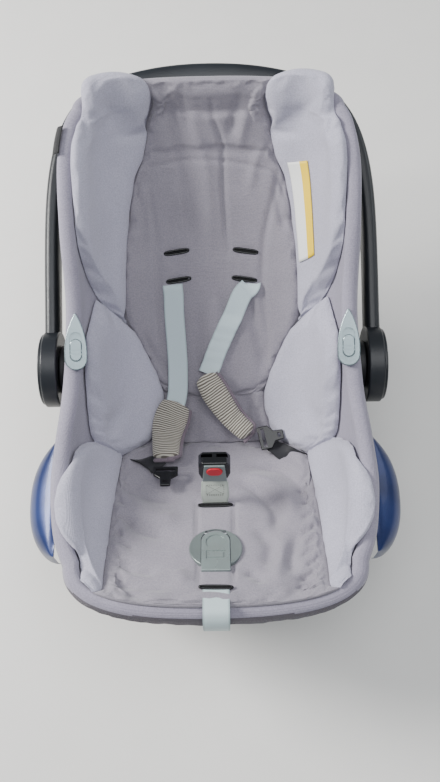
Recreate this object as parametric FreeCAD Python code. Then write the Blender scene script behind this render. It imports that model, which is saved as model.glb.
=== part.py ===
import FreeCAD, Part
import math
import os

os.makedirs("parts", exist_ok=True)
V = FreeCAD.Vector

# ---------------------------------------------------------------- driving dimensions (mm)
# Frame: +X across the seat, +Y from the foot end to the head end, +Z up, floor at z = 0.
FRONT_Y = -338.1          # front edge of the cover
WALL = 4.0                # shell wall
FOAM_IN, FOAM_OUT = 1.4, 6.2      # foam liner between shell and cover
COVER_IN, COVER_OUT = 7.8, 10.4   # base cloth of the cover
PAD_IN = 11.2             # underside of every sewn-on pad
SECTION_POWER = 2.6       # roundness of the bucket's cross section

# Lines plan of the bucket: spine y, spine z, rim y, rim z, half width, centre y, centre z,
# with y counted from the front edge.
STATIONS = [
    (8, 222, 62, 222, 160, 100, 262),
    (40, 194, 96, 222, 172, 125, 258),
    (120, 142, 150, 223, 178, 165, 250),
    (205, 98, 205, 228, 174, 205, 240),
    (262, 90, 265, 241, 166, 245, 240),
    (345, 133, 350, 279, 161, 310, 258),
    (440, 202, 425, 328, 165, 380, 300),
    (530, 272, 490, 362, 166, 440, 340),
    (578, 330, 530, 376, 159, 475, 365),
    (590, 370, 548, 381, 150, 480, 372),
]
LAST = len(STATIONS) - 1

PIVOT_Y, PIVOT_Z = 305.0, 205.0   # handle axis, y from the front edge
HANDLE_REST = 15.0        # degrees above level, towards the head end
PIN_R = 8.0
PIN_PLAY = 0.05
HUB_R = 46.0
HUB_IN, HUB_OUT = 184.0, 203.0
CAP_OUT = 206.5
BUTTON_R = 12.0
WEB_T = 1.6               # harness webbing thickness
WEB_W = 25.0              # shoulder webbing width
CROTCH_W = 30.0
SLOT_W, SLOT_H = 34.0, 7.0
RUNNER_X = 96.0
RUNNER_T = 5.0
FLANGE_W = 24.0
FLANGE_T = 5.0
FOOT_H = 3.0


# ---------------------------------------------------------------- helpers
def blend(u):
    """Smooth values of the lines plan at any position along the seat."""
    i = min(max(int(u), 0), LAST - 1)
    t = u - i
    rows = [STATIONS[min(max(k, 0), LAST)] for k in (i - 1, i, i + 1, i + 2)]
    out = []
    for a, b, c, d in zip(*rows):
        value = 2 * b + (c - a) * t + (2 * a - 5 * b + 4 * c - d) * t * t
        out.append(0.5 * (value + (3 * b - a - 3 * c + d) * t ** 3))
    return out


def surf(u, v, h=0.0):
    """Point on the bucket: u along the seat, v across it from -1 to 1, h above the shell's inner face."""
    sy, sz, ry, rz, half, cy, cz = blend(u)
    angle = v * math.pi / 2
    radius = (abs(math.cos(angle)) ** SECTION_POWER + abs(math.sin(angle)) ** SECTION_POWER)
    radius = radius ** (-1.0 / SECTION_POWER)
    rise = 1 - radius * math.cos(angle)
    p = V(half * radius * math.sin(angle), sy + (ry - sy) * rise, sz + (rz - sz) * rise)
    n = V(0, cy, cz) - p
    n.normalize()
    return p + n * h + V(0, FRONT_Y, 0)


def lerp(a, b, t):
    return a + (b - a) * t


def table(rows, x):
    """Piecewise smooth lookup: rows of (x, value, ...)."""
    if x <= rows[0][0]:
        return rows[0][1:]
    for low, high in zip(rows, rows[1:]):
        if x <= high[0]:
            t = (x - low[0]) / (high[0] - low[0])
            t = t * t * (3 - 2 * t) * 0.5 + t * 0.5
            return tuple(lerp(a, b, t) for a, b in zip(low[1:], high[1:]))
    return rows[-1][1:]


def face(grid):
    s = Part.BSplineSurface()
    s.interpolate(grid)
    return s.toShape()


def nearest(edge, edges):
    middle = edge.valueAt((edge.FirstParameter + edge.LastParameter) / 2)

    def gap(other):
        return (other.valueAt((other.FirstParameter + other.LastParameter) / 2) - middle).Length
    return min(edges, key=gap)


def slab(inner, outer):
    """Closed solid between two grids of points."""
    a = face(inner)
    b = face(outer)
    faces = [a, b]
    for edge in a.Edges:
        other = nearest(edge, b.Edges)
        sides = [Part.makeRuledSurface(edge, other, way) for way in (1, 2)]
        faces.append(min(sides, key=lambda f: f.Length))
    shell = Part.makeShell(faces)
    shell.sewShape(0.01)
    solid = Part.makeSolid(Part.makeShell(shell.Faces))
    if solid.Volume < 0:
        solid.reverse()
    return solid


def layer(u0, u1, v0, v1, h0, h1, nu=37, nv=25):
    """Even layer of the bucket between two offsets."""
    us = [lerp(u0, u1, i / (nu - 1.0)) for i in range(nu)]
    vs = [lerp(v0, v1, j / (nv - 1.0)) for j in range(nv)]
    low = [[surf(u, v, h0) for v in vs] for u in us]
    high = [[surf(u, v, h1) for v in vs] for u in us]
    return slab(low, high)


def cushion(rows, puff, base=PAD_IN, edge=2.0, nu=13, nv=9):
    """Pad sewn to the cover: rows of (u, v inner, v outer), puffed between its edges."""
    u0 = rows[0][0]
    u1 = rows[-1][0]
    low = []
    high = []
    for i in range(nu):
        s = i / (nu - 1.0)
        u = lerp(u0, u1, s)
        v0, v1 = table(rows, u)
        low.append([])
        high.append([])
        for j in range(nv):
            t = j / (nv - 1.0)
            fill = (math.sin(math.pi * s) * math.sin(math.pi * t)) ** 0.45 if 0 < s < 1 and 0 < t < 1 else 0
            v = lerp(v0, v1, t)
            low[-1].append(surf(u, v, base))
            high[-1].append(surf(u, v, base + edge + puff * fill))
    return slab(low, high)


def smooth_path(points, count):
    curve = Part.BSplineCurve()
    curve.interpolate(points)
    length = curve.length()
    out = []
    for i in range(count):
        p = curve.parameterAtDistance(length * i / (count - 1.0), curve.FirstParameter)
        out.append((curve.value(p), curve.tangent(p)[0]))
    return out


def ribbon(points, width, thick=WEB_T, count=22, lift=0.0):
    """Flat webbing along a path; width is a number or a function of 0..1."""
    wires = []
    path = smooth_path(points, count)
    for i, (p, t) in enumerate(path):
        side = V(1, 0, 0) - t * t.x
        side.normalize()
        up = side.cross(t)
        w = width(i / (count - 1.0)) if callable(width) else width
        half = side * (w / 2.0)
        top = up * (thick / 2.0)
        c = p + up * lift
        corners = [c - half - top, c + half - top, c + half + top, c - half + top]
        wires.append(Part.makePolygon(corners + corners[:1]))
    return Part.makeLoft(wires, True, False)


def tilt(shape, degrees, origin):
    """Turn a shape drawn at the origin about X, then move it to its place."""
    out = shape.copy()
    out.rotate(V(0, 0, 0), V(1, 0, 0), degrees)
    out.translate(origin)
    return out


def mirror(shape):
    return shape.mirror(V(0, 0, 0), V(1, 0, 0))


def box(x0, x1, y0, y1, z0, z1):
    return Part.makeBox(x1 - x0, y1 - y0, z1 - z0, V(x0, y0, z0))


def rod(radius, length, origin, axis):
    return Part.makeCylinder(radius, length, origin, axis)


def prism(points, height):
    """Upright prism on a polygon or smooth outline drawn in the XY plane."""
    wire = Part.makePolygon(points + points[:1])
    return Part.Face(wire).extrude(V(0, 0, height))


def rounded(shape, radius, edges=None):
    try:
        return shape.makeFillet(radius, edges or shape.Edges)
    except Exception:
        print("edge left sharp")
        return shape


extent = FreeCAD.BoundBox()


def export(shape, name):
    extent.add(shape.BoundBox)
    shape.exportStep("parts/" + name + ".step")
    print(name, "solids", len(shape.Solids), "valid", shape.isValid(), "cm3", round(shape.Volume / 1000, 1))


def both(shape, name):
    export(shape, name + "_left")
    export(mirror(shape), name + "_right")


# ---------------------------------------------------------------- openings through the layers
BACK_ANGLE = 36.9         # slope of the straight part of the back


def slot_at(u, x, width=SLOT_W, height=SLOT_H, grow=0.0, angle=BACK_ANGLE):
    p = surf(u, 0, 0)
    reach = 60.0
    cutter = box(-width / 2 - grow, width / 2 + grow, -height / 2 - grow, height / 2 + grow, -reach, reach)
    cutter = tilt(cutter, angle, p)
    cutter.translate(V(x, 0, 0))
    return cutter


HARNESS_X = 49.0
UPPER_U, LOWER_U = 6.22, 5.90
harness_slots = [slot_at(u, side * HARNESS_X) for u in (UPPER_U, LOWER_U) for side in (-1, 1)]
CROTCH_U, CROTCH_ANGLE = 2.20, -30.0
crotch_slot = slot_at(CROTCH_U, 0, CROTCH_W + 8, 8, angle=CROTCH_ANGLE)
ADJUST_U, ADJUST_ANGLE = 1.38, -33.0
ADJUST_R = 30.5
adjust_origin = surf(ADJUST_U, 0, 22)
adjust_well = tilt(rod(20.5, 60, V(0, 0, -45), V(0, 0, 1)), ADJUST_ANGLE, adjust_origin)
HIP_U, HIP_V = 3.15, 0.40
hip_points = [surf(HIP_U, side * HIP_V, 0) for side in (-1, 1)]
hip_slots = []
for p in hip_points:
    cutter = box(-19, 19, -9, 9, -50, 50)
    cutter.rotate(V(0, 0, 0), V(0, 1, 0), 25 if p.x < 0 else -25)
    cutter.translate(p)
    hip_slots.append(cutter)
through = harness_slots + hip_slots + [crotch_slot, adjust_well]

# ---------------------------------------------------------------- shell, foam and base cloth
shell = layer(0, LAST, -1, 1, -WALL, 0)
BOSS_R = 29.0
boss_axis = V(0, FRONT_Y + PIVOT_Y, PIVOT_Z)
pin_hole = rod(PIN_R, 460, boss_axis + V(-230, 0, 0), V(1, 0, 0))
for cutter in through + [pin_hole]:
    shell = shell.cut(cutter)
export(shell, "bucket_shell")

foam_head = layer(5.25, 8.75, -0.84, 0.84, FOAM_IN, FOAM_OUT, 15, 21)
for cutter in harness_slots:
    foam_head = foam_head.cut(cutter)
export(foam_head, "head_foam_liner")
cover = layer(0.02, LAST - 0.03, -0.99, 0.99, COVER_IN, COVER_OUT)
for cutter in through:
    cover = cover.cut(cutter)


# ---------------------------------------------------------------- cover border over the rim
# Section of the border from the seat side to the hem: distance outside the rim, height above it.
ROLL_OUTER = [(-10.4, 0.0), (-9.4, 5.0), (-4.5, 9.0), (1.5, 9.6), (6.6, 6.6), (9.0, 1.0), (9.6, -5.0)]
ROLL_INNER = [(-8.0, 0.0), (-7.1, 3.7), (-3.5, 6.7), (1.0, 7.2), (4.9, 4.8), (6.7, 0.2), (7.2, -5.0)]
HEM_OUTER, HEM_INNER = 8.8, 6.4


def rim_path(s):
    """Position on the left half of the rim: s from 0 at the front centre to 3 at the head centre."""
    if s < 1:
        return 0.0, -s
    if s < 2:
        return (s - 1) * LAST, -1.0
    return float(LAST), s - 3


def rim_frame(s):
    u, v = rim_path(s)
    here = surf(u, v, 0)
    low = surf(*rim_path(max(s - 0.02, 0)))
    high = surf(*rim_path(min(s + 0.02, 3)))
    along = high - low
    out = V(along.y, -along.x, 0) * -1.0
    out.normalize()
    if s <= 0 or s >= 3:
        out = V(0, -1 if s <= 0 else 1, 0)
    if out.dot(V(here.x, here.y + 20, 0)) < 0:
        out = out * -1.0
    return u, v, here, out


def hem_drop(s):
    return table([(0, 32.0), (0.8, 24.0), (1.0, 22.0), (1.7, 21.0), (2.0, 32.0), (3, 36.0)], s)[0]


def border_row(s, roll, hem):
    u, v, here, out = rim_frame(s)
    inward = surf(u, v, 1.0) - here
    drop = hem_drop(s)
    row = [here + (out * a if a > 0 else inward * -a) + V(0, 0, z) for a, z in roll]
    row.append(here + out * (roll[-1][0] - 0.1) + V(0, 0, -drop * 0.6))
    row.append(here + out * hem + V(0, 0, -drop))
    return [p for p, t in smooth_path(row, 15)]


def even_steps(count):
    """Rim positions at equal distances along the rim, from the front centre to the head centre."""
    fine = [3 * k / 600.0 for k in range(601)]
    points = [surf(*rim_path(s)) for s in fine]
    run = [0.0]
    for a, b in zip(points, points[1:]):
        run.append(run[-1] + (b - a).Length)
    steps = []
    for k in range(count):
        wanted = run[-1] * k / (count - 1.0)
        i = min(sum(1 for r in run if r < wanted), 600)
        steps.append(fine[i])
    return steps


RIM_STEPS = even_steps(37)
border = slab([border_row(s, ROLL_INNER, HEM_INNER) for s in RIM_STEPS],
              [border_row(s, ROLL_OUTER, HEM_OUTER) for s in RIM_STEPS])

# release bezel: a leaf lying on the rim beside the handle hub
BEZEL_ANGLE = 24.0
BEZEL_AT = V(-157.5, FRONT_Y + 310, 272.5)


def leaf(grow, z0, z1):
    foot = Part.Arc(V(-13 - grow, -20, 0), V(0, -33 - grow, 0), V(13 + grow, -20, 0)).toShape()
    right = Part.Arc(V(13 + grow, -20, 0), V(9.5 + grow, 12, 0), V(0, 34 + grow, 0)).toShape()
    left = Part.Arc(V(0, 34 + grow, 0), V(-9.5 - grow, 12, 0), V(-13 - grow, -20, 0)).toShape()
    shape = Part.Face(Part.Wire([foot, right, left])).extrude(V(0, 0, z1 - z0))
    shape.translate(V(0, 0, z0))
    return shape


def on_rim(shape):
    out = shape.copy()
    out.rotate(V(0, 0, 0), V(0, 1, 0), 8)
    return tilt(out, BEZEL_ANGLE, BEZEL_AT)


bezel_room = on_rim(leaf(0.4, -9, 30))
border = border.cut(bezel_room)
border = border.cut(layer(0, LAST, -1, 1, -WALL - 0.3, 0.3))
border = border.cut(rod(BOSS_R + 0.5, 60, boss_axis + V(-230, 0, 0), V(1, 0, 0)))
border = max(border.Solids, key=lambda s: s.Volume)
both(border, "cover_border")
cover = cover.cut(bezel_room).cut(mirror(bezel_room))
export(cover, "seat_cover")

# ---------------------------------------------------------------- pads
HEAD_ROWS = [(5.38, -0.50, -0.58), (5.6, -0.485, -0.80), (6.0, -0.468, -0.92), (6.6, -0.43, -0.975),
             (7.3, -0.36, -0.985), (7.9, -0.325, -0.985), (8.5, -0.31, -0.985), (8.93, -0.36, -0.90)]
SIDE_ROWS = [(3.27, -0.46, -0.50), (3.5, -0.385, -0.66), (3.75, -0.335, -0.76), (4.02, -0.295, -0.86),
             (4.42, -0.295, -0.965), (4.8, -0.33, -0.94), (5.1, -0.40, -0.84), (5.32, -0.475, -0.69)]
LEG_ROWS = [(0.12, -0.58, -0.72), (0.5, -0.545, -0.88), (1.1, -0.50, -0.965), (2.0, -0.475, -0.985),
            (2.62, -0.465, -0.96), (2.95, -0.46, -0.82), (3.17, -0.47, -0.70)]
BACK_ROWS = [(4.66, 0.20, -0.20), (4.85, 0.25, -0.25), (5.3, 0.40, -0.40), (5.6, 0.46, -0.46),
             (6.2, 0.44, -0.44), (6.8, 0.39, -0.39), (7.4, 0.335, -0.335), (8.4, 0.29, -0.29),
             (8.93, 0.33, -0.33)]
LUMBAR_ROWS = [(3.74, 0.31, -0.31), (4.1, 0.265, -0.265), (4.62, 0.19, -0.19)]
SEAT_ROWS = [(0.14, 0.55, -0.55), (0.6, 0.51, -0.51), (1.5, 0.465, -0.465), (2.6, 0.445, -0.445),
             (3.1, 0.43, -0.43), (3.66, 0.31, -0.31)]
HEAD_PUFF, SIDE_PUFF, LEG_PUFF, BACK_PUFF, SEAT_PUFF = 15.0, 15.0, 14.0, 7.0, 8.0

both(cushion(HEAD_ROWS, HEAD_PUFF), "headrest_pad")
side_pad = cushion(SIDE_ROWS, SIDE_PUFF, PAD_IN + 2.4).cut(bezel_room)
both(side_pad, "side_pad")
leg_pad = cushion(LEG_ROWS, LEG_PUFF, PAD_IN + 3.3).cut(hip_slots[0])
both(leg_pad, "leg_pad")
back_pad = cushion(BACK_ROWS, BACK_PUFF, nu=17, nv=11)
for cutter in harness_slots:
    back_pad = back_pad.cut(cutter)
export(back_pad, "back_pad")
export(cushion(LUMBAR_ROWS, 6.0), "lumbar_pad")
seat_pad = cushion(SEAT_ROWS, SEAT_PUFF, nu=15, nv=11)
for cutter in hip_slots + [crotch_slot, adjust_well]:
    seat_pad = seat_pad.cut(cutter)
export(seat_pad, "seat_pad")


def patch(rows, puff, u0, u1, v0, v1, lift, thick):
    """Thin patch lying on a cushion."""
    low = []
    high = []
    for i in range(7):
        u = lerp(u0, u1, i / 6.0)
        s = (u - rows[0][0]) / (rows[-1][0] - rows[0][0])
        a, b = table(rows, u)
        low.append([])
        high.append([])
        for j in range(7):
            v = lerp(v0, v1, j / 6.0)
            t = (v - a) / (b - a)
            top = PAD_IN + 2.0 + puff * (math.sin(math.pi * s) * math.sin(math.pi * t)) ** 0.45
            low[-1].append(surf(u, v, top + lift))
            high[-1].append(surf(u, v, top + lift + thick))
    return slab(low, high)


export(mirror(patch(HEAD_ROWS, HEAD_PUFF, 6.0, 7.2, -0.60, -0.78, 0.5, 0.6)), "blank_label")


def tag_row(s, radius):
    u, v, here, out = rim_frame(s)
    return [here + out * (radius * math.sin(a) + 1.0) + V(0, 0, radius * math.cos(a))
            for a in (0.35, 0.6, 0.9, 1.2, 1.45)]


TAG_STEPS = [1.79, 1.81, 1.83, 1.85, 1.87]
export(slab([tag_row(s, 9.8) for s in TAG_STEPS], [tag_row(s, 10.6) for s in TAG_STEPS]), "side_tag")

# ---------------------------------------------------------------- harness
def frame_dir(angle):
    a = math.radians(angle)
    return V(0, math.cos(a), math.sin(a)), V(0, -math.sin(a), math.cos(a))


BACK_T, BACK_N = frame_dir(BACK_ANGLE)
slot_mid = surf(LOWER_U, 0, 0)


def through_slot(x, depth):
    return slot_mid + V(x, 0, 0) + BACK_N * depth


def behind(x, along, depth):
    """Point behind the back: along counted up the back from the lower slots."""
    return slot_mid + V(x, 0, 0) + BACK_T * along - BACK_N * depth


left_path = [behind(-20, -39, 12.5), behind(-34, -27, 13.5), behind(-45, -11, 12.5)]
left_path += [through_slot(-HARNESS_X, -4), through_slot(-HARNESS_X, 9), through_slot(-HARNESS_X, 20)]
left_path += [surf(5.72, -0.240, 28), surf(5.5, -0.235, 28), surf(5.1, -0.225, 28), surf(4.83, -0.220, 28)]
left_path += [surf(4.50, -0.225, 30), surf(4.20, -0.26, 34)]
strap_left = ribbon(left_path, WEB_W, count=40)
export(strap_left, "shoulder_strap_left")
right_path = [behind(20, -39, 12.5), behind(34, -27, 13.5), behind(45, -11, 12.5)]
right_path += [through_slot(HARNESS_X, -4), through_slot(HARNESS_X, 9), through_slot(HARNESS_X, 20)]
right_path += [surf(5.72, 0.18, 28), surf(5.45, 0.121, 28), surf(5.09, 0.03, 28), surf(4.78, -0.035, 31)]
strap_right = ribbon(right_path, WEB_W, count=40)
export(strap_right, "shoulder_strap_right")


def sleeve(points, width, thick, strap, name):
    """Padded sleeve: a flat tube of lofted rounded sections round the strap."""
    path = smooth_path(points, 15)
    wires = []
    for i, (p, t) in enumerate(path):
        s = i / (len(path) - 1.0)
        side = V(1, 0, 0) - t * t.x
        side.normalize()
        up = side.cross(t)
        full = 0.72 + 0.28 * math.sin(math.pi * s) ** 0.5
        ring = []
        for k in range(16):
            a = 2 * math.pi * k / 16
            cx = math.copysign(abs(math.cos(a)) ** 0.7, math.cos(a))
            cz = math.copysign(abs(math.sin(a)) ** 0.8, math.sin(a))
            ring.append(p + side * (cx * width / 2 * full) + up * (cz * thick / 2 * full))
        curve = Part.BSplineCurve()
        curve.interpolate(ring, True)
        wires.append(Part.Wire([curve.toShape()]))
    body = Part.makeLoft(wires, True, False).cut(strap)
    export(body, name)


sleeve([surf(4.36, -0.235, 36), surf(4.0, -0.285, 38), surf(3.6, -0.295, 38), surf(3.1, -0.295, 40)],
       36, 11, strap_left, "shoulder_pad_left")
sleeve([surf(4.74, -0.06, 38), surf(4.45, 0.02, 40), surf(4.1, 0.12, 40), surf(3.75, 0.225, 40)],
       34, 11, strap_right, "shoulder_pad_right")


def tongue(name, place):
    """Buckle tongue: webbing slot at the wide end, latch nose at the other."""
    plate = prism([V(-15, 0, 0), V(-15, 14, 0), V(-7, 20, 0), V(-6, 32, 0), V(6, 32, 0), V(7, 20, 0),
                   V(15, 14, 0), V(15, 0, 0)], 4.0)
    plate = rounded(plate, 1.2)
    plate = plate.cut(box(-12, 12, 4, 8.5, -1, 6))
    plate = plate.cut(box(-3, 3, 24, 28, -1, 6))
    plate.rotate(V(0, 0, 0), V(0, 0, 1), place[1])
    export(tilt(plate, place[2], place[0]), name)


tongue("buckle_tongue_left", (surf(2.86, -0.29, 39), 180, -29))
tongue("buckle_tongue_right", (surf(3.60, 0.275, 39), -78, 6))


def lap(side, points, name):
    p = hip_points[0 if side < 0 else 1]
    down = [p + V(0, 0, 9), p + V(side * 3, 0, -3), p + V(side * 7, 0, -12)]
    export(ribbon(points + down, WEB_W - 3, count=20), name)


lap(-1, [surf(2.90, -0.31, 30), surf(3.0, -0.335, 29.5), surf(3.11, -0.375, 23)], "lap_strap_left")
lap(1, [surf(3.48, 0.32, 27), surf(3.34, 0.355, 27), surf(3.20, 0.385, 21)], "lap_strap_right")

CROTCH_N = frame_dir(CROTCH_ANGLE)[1]
crotch_mid = surf(CROTCH_U, 0, 0)
BUCKLE_ANGLE = 73.0
BUCKLE_AT = V(0, FRONT_Y + 172, 191)
crotch_path = [crotch_mid + CROTCH_N * d for d in (-11, -2, 10, 20)]
crotch_path += [V(0, FRONT_Y + 158, 172), BUCKLE_AT + V(0, -3.5, -6), BUCKLE_AT + V(0, -0.6, -0.8)]


def crotch_width(s):
    return table([(0, CROTCH_W), (0.72, CROTCH_W), (0.92, 18.0), (1, 15.0)], s)[0]


export(ribbon(crotch_path, crotch_width, 3.0, 20), "crotch_strap")
anchor = tilt(box(-26, 26, -9, 9, -8.5, -6.0), CROTCH_ANGLE, crotch_mid)
anchor = anchor.cut(tilt(box(-CROTCH_W / 2 - 0.6, CROTCH_W / 2 + 0.6, -2.4, 2.4, -20, 0), CROTCH_ANGLE,
                         crotch_mid))
export(anchor, "crotch_anchor_plate")


def oval(width, height, z0, z1, y):
    r = height / 2.0
    half = width / 2.0 - r
    shape = box(-half, half, y - r, y + r, z0, z1)
    for x in (-half, half):
        shape = shape.fuse(rod(r, z1 - z0, V(x, y, z0), V(0, 0, 1)))
    return shape.removeSplitter()


BUCKLE_H = 36.0
BUTTON_Y = 24.0
buckle = prism([V(-13, 0, -9), V(-16, 6, -9), V(-18.5, 14, -9), V(-18.5, BUCKLE_H - 6, -9),
                V(-14, BUCKLE_H, -9), V(14, BUCKLE_H, -9), V(18.5, BUCKLE_H - 6, -9), V(18.5, 14, -9),
                V(16, 6, -9), V(13, 0, -9)], 18)
buckle = rounded(buckle, 2.5)
buckle = buckle.cut(oval(19.4, 14.4, 3.5, 20, BUTTON_Y))
for side in (-1, 1):
    buckle = buckle.cut(box(side * 9 - 6.6, side * 9 + 6.6, 19, 60, -5, -0.6))
export(tilt(buckle, BUCKLE_ANGLE, BUCKLE_AT), "buckle_body")
frame_plate = prism([V(-14.5, 3, 9.05), V(-11.8, BUCKLE_H - 1.5, 9.05), V(11.8, BUCKLE_H - 1.5, 9.05),
                     V(14.5, 3, 9.05)], 2.55)
frame_plate = rounded(frame_plate, 1.0).cut(oval(19.4, 14.4, 3, 20, BUTTON_Y))
export(tilt(frame_plate, BUCKLE_ANGLE, BUCKLE_AT), "buckle_frame")
button = oval(18.6, 13.6, 6.8, 13.2, BUTTON_Y)
button = rounded(button, 1.2)
export(tilt(button, BUCKLE_ANGLE, BUCKLE_AT), "buckle_button")

# adjuster under its round cover
LEVER_Y, LEVER_Z = 24.0, 4.2
LEVER_PIN_R = 1.5
housing = rounded(rod(ADJUST_R, 6, V(0, 0, 0), V(0, 0, 1)), 1.6)
housing = housing.fuse(rod(19.6, 26, V(0, 0, -26), V(0, 0, 1)))
housing = housing.cut(box(-17, 17, -40, 12, 1.8, 10))
housing = housing.cut(rod(17, 8, V(0, 12, 1.8), V(0, 0, 1)))
housing = housing.cut(rod(LEVER_PIN_R + 0.05, 50, V(-25, LEVER_Y, LEVER_Z), V(1, 0, 0)))
housing = housing.cut(rod(3.4, 24, V(-12, LEVER_Y, LEVER_Z), V(1, 0, 0)))
housing = housing.cut(box(-16, 16, -8, 8, -30, -2))
export(tilt(housing, ADJUST_ANGLE, adjust_origin), "adjuster_housing")
lever = box(-16.4, 16.4, -35, 10, 2.3, 6.2)
lever = lever.fuse(rod(16.4, 3.9, V(0, 10, 2.3), V(0, 0, 1))).removeSplitter()
lever = rounded(lever, 1.0)
lever = lever.cut(rod(LEVER_PIN_R + 0.05, 50, V(-25, LEVER_Y, LEVER_Z), V(1, 0, 0)))
lever = lever.cut(rod(11.5, 3, V(0, 8.6, 5.2), V(0, 0, 1)).common(box(-12, 12, 1, 30, 5, 9)))
lever = lever.cut(box(-11, 11, -18, -5, 5.4, 9).cut(box(-8.5, 8.5, -15.5, -7.5, 5, 10)))
export(tilt(lever, ADJUST_ANGLE, adjust_origin), "adjuster_lever")
lever_pin = rod(LEVER_PIN_R, 36, V(-18, LEVER_Y, LEVER_Z), V(1, 0, 0))
export(tilt(lever_pin, ADJUST_ANGLE, adjust_origin), "lever_pin")
yoke = box(-38, 38, -58, -40, -18.5, -16).cut(box(-14, 14, -54, -49, -20, -10))
export(tilt(yoke, BACK_ANGLE, slot_mid), "harness_yoke")
rear_path = [behind(0, -62, 19.5), surf(4.95, 0, -20), surf(4.6, 0, -17), surf(4.1, 0, -15)]
rear_path += [surf(u, 0, -14) for u in (3.6, 3.0, 2.4)] + [surf(1.9, 0, -15), surf(1.62, 0, -12)]
rear_path += [surf(1.46, 0, -4), surf(1.42, 0, 2)]
export(ribbon(rear_path, 28.0, count=36), "adjuster_strap_rear")
front_path = [surf(0.42, 0, 23.5), surf(0.2, 0, 19.5), surf(0.06, 0, 16.5), V(0, FRONT_Y + 9, 238)]
front_path += [V(0, FRONT_Y - 0.5, 234.5), V(0, FRONT_Y - 4.2, 226), V(0, FRONT_Y - 5.5, 210)]
front_path += [V(0, FRONT_Y - 6, 186)]
export(ribbon(front_path, 29.0, count=30), "adjuster_strap_front")

# ---------------------------------------------------------------- release bezels and sliders
def long_oval(width, length, z0, z1, y):
    shape = oval(length, width, z0, z1, 0)
    shape.rotate(V(0, 0, 0), V(0, 0, 1), 90)
    shape.translate(V(0, y, 0))
    return shape


bezel = rounded(leaf(0, -6, 3.2), 1.4).cut(long_oval(14.4, 34, -1.6, 9, -6))
both(on_rim(bezel), "release_bezel")
slider = rounded(long_oval(14, 26, -1.3, 5.4, -9.8), 1.5)
slider = slider.cut(box(-9, 9, -15, -13.6, 4.2, 9)).cut(box(-9, 9, -11, -9.6, 4.2, 9))
both(on_rim(slider), "release_slider")

# ---------------------------------------------------------------- belt hooks beside the seat
HOOK_Y, HOOK_TOP = FRONT_Y + 147, 199.0
HOOK_LEN, HOOK_REACH, HOOK_FOOT = 140.0, 221.0, 184.0
HOOK_DROP = 36.0          # height of the rounded shoulder of the hood
HOOK_SKIN = 4.2


def hook_row(c, skin):
    """Section of the hood at c, from -1 at its foot end to 1 at its head end."""
    width = 4.6 + (HOOK_REACH - HOOK_FOOT - 4.6) * max(1 - abs(c) ** 2.3, 0) ** 0.62 - skin
    y = HOOK_Y + c * HOOK_LEN / 2
    low = 137 + 18 * c * c
    shoulder = HOOK_TOP - HOOK_DROP
    row = []
    for degrees in (0, 20, 40, 60, 78, 90):
        turn = math.radians(degrees)
        row.append(V(-HOOK_FOOT - width * math.sin(turn), y, shoulder + (HOOK_DROP - skin) * math.cos(turn)))
    row.append(V(-HOOK_FOOT - width + 0.4, y, (shoulder + low) / 2))
    row.append(V(-HOOK_FOOT - width + 2.0, y, low))
    return row


HOOK_STEPS = [-math.cos(math.pi * k / 18.0) for k in range(19)]
hook = slab([hook_row(c, HOOK_SKIN) for c in HOOK_STEPS], [hook_row(c, 0) for c in HOOK_STEPS])
foot = box(-192, -150, HOOK_Y - 44, HOOK_Y + 44, 152, 197)
bowl_core = layer(0.2, 4.6, -1, -0.25, -WALL - 0.2, 60, 13, 9)
foot = foot.cut(bowl_core)
foot = foot.Solids[0] if len(foot.Solids) == 1 else max(foot.Solids, key=lambda s: -s.BoundBox.XMin)
hook = hook.fuse(foot).removeSplitter()
both(hook, "belt_hook")

# ---------------------------------------------------------------- rocker base
def under(u, x):
    """Point of the shell's outer face at a given distance from the centre plane."""
    low, high = 0.0, 1.0
    for _ in range(30):
        middle = (low + high) / 2
        if surf(u, middle, -WALL - 0.4).x < x:
            low = middle
        else:
            high = middle
    return surf(u, low, -WALL - 0.4)


web_x = RUNNER_X - RUNNER_T / 2.0
top_line = [under(0.55 + 6.9 * k / 22.0, web_x) for k in range(23)]
floor_y = FRONT_Y
keel = [V(0, floor_y + 486, 196), V(0, floor_y + 470, 148), V(0, floor_y + 440, 78),
        V(0, floor_y + 405, 26), V(0, floor_y + 372, FOOT_H + 3), V(0, floor_y + 350, FOOT_H),
        V(0, floor_y + 270, FOOT_H), V(0, floor_y + 180, FOOT_H), V(0, floor_y + 155, FOOT_H + 4),
        V(0, floor_y + 118, 28), V(0, floor_y + 84, 78), V(0, floor_y + 62, 140)]


def keel_curve(inset):
    points = []
    for i, p in enumerate(keel):
        a = keel[max(i - 1, 0)]
        b = keel[min(i + 1, len(keel) - 1)]
        along = b - a
        along.normalize()
        points.append(p + V(0, -along.z, along.y) * -inset)
    return points


def plate(points, x0, x1):
    ring = [V(x0, p.y, p.z) for p in points]
    return Part.Face(Part.makePolygon(ring + ring[:1])).extrude(V(x1 - x0, 0, 0))


def grounded(points):
    return [V(0, p.y, max(p.z, FOOT_H)) for p, t in smooth_path(points, 60)]


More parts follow.
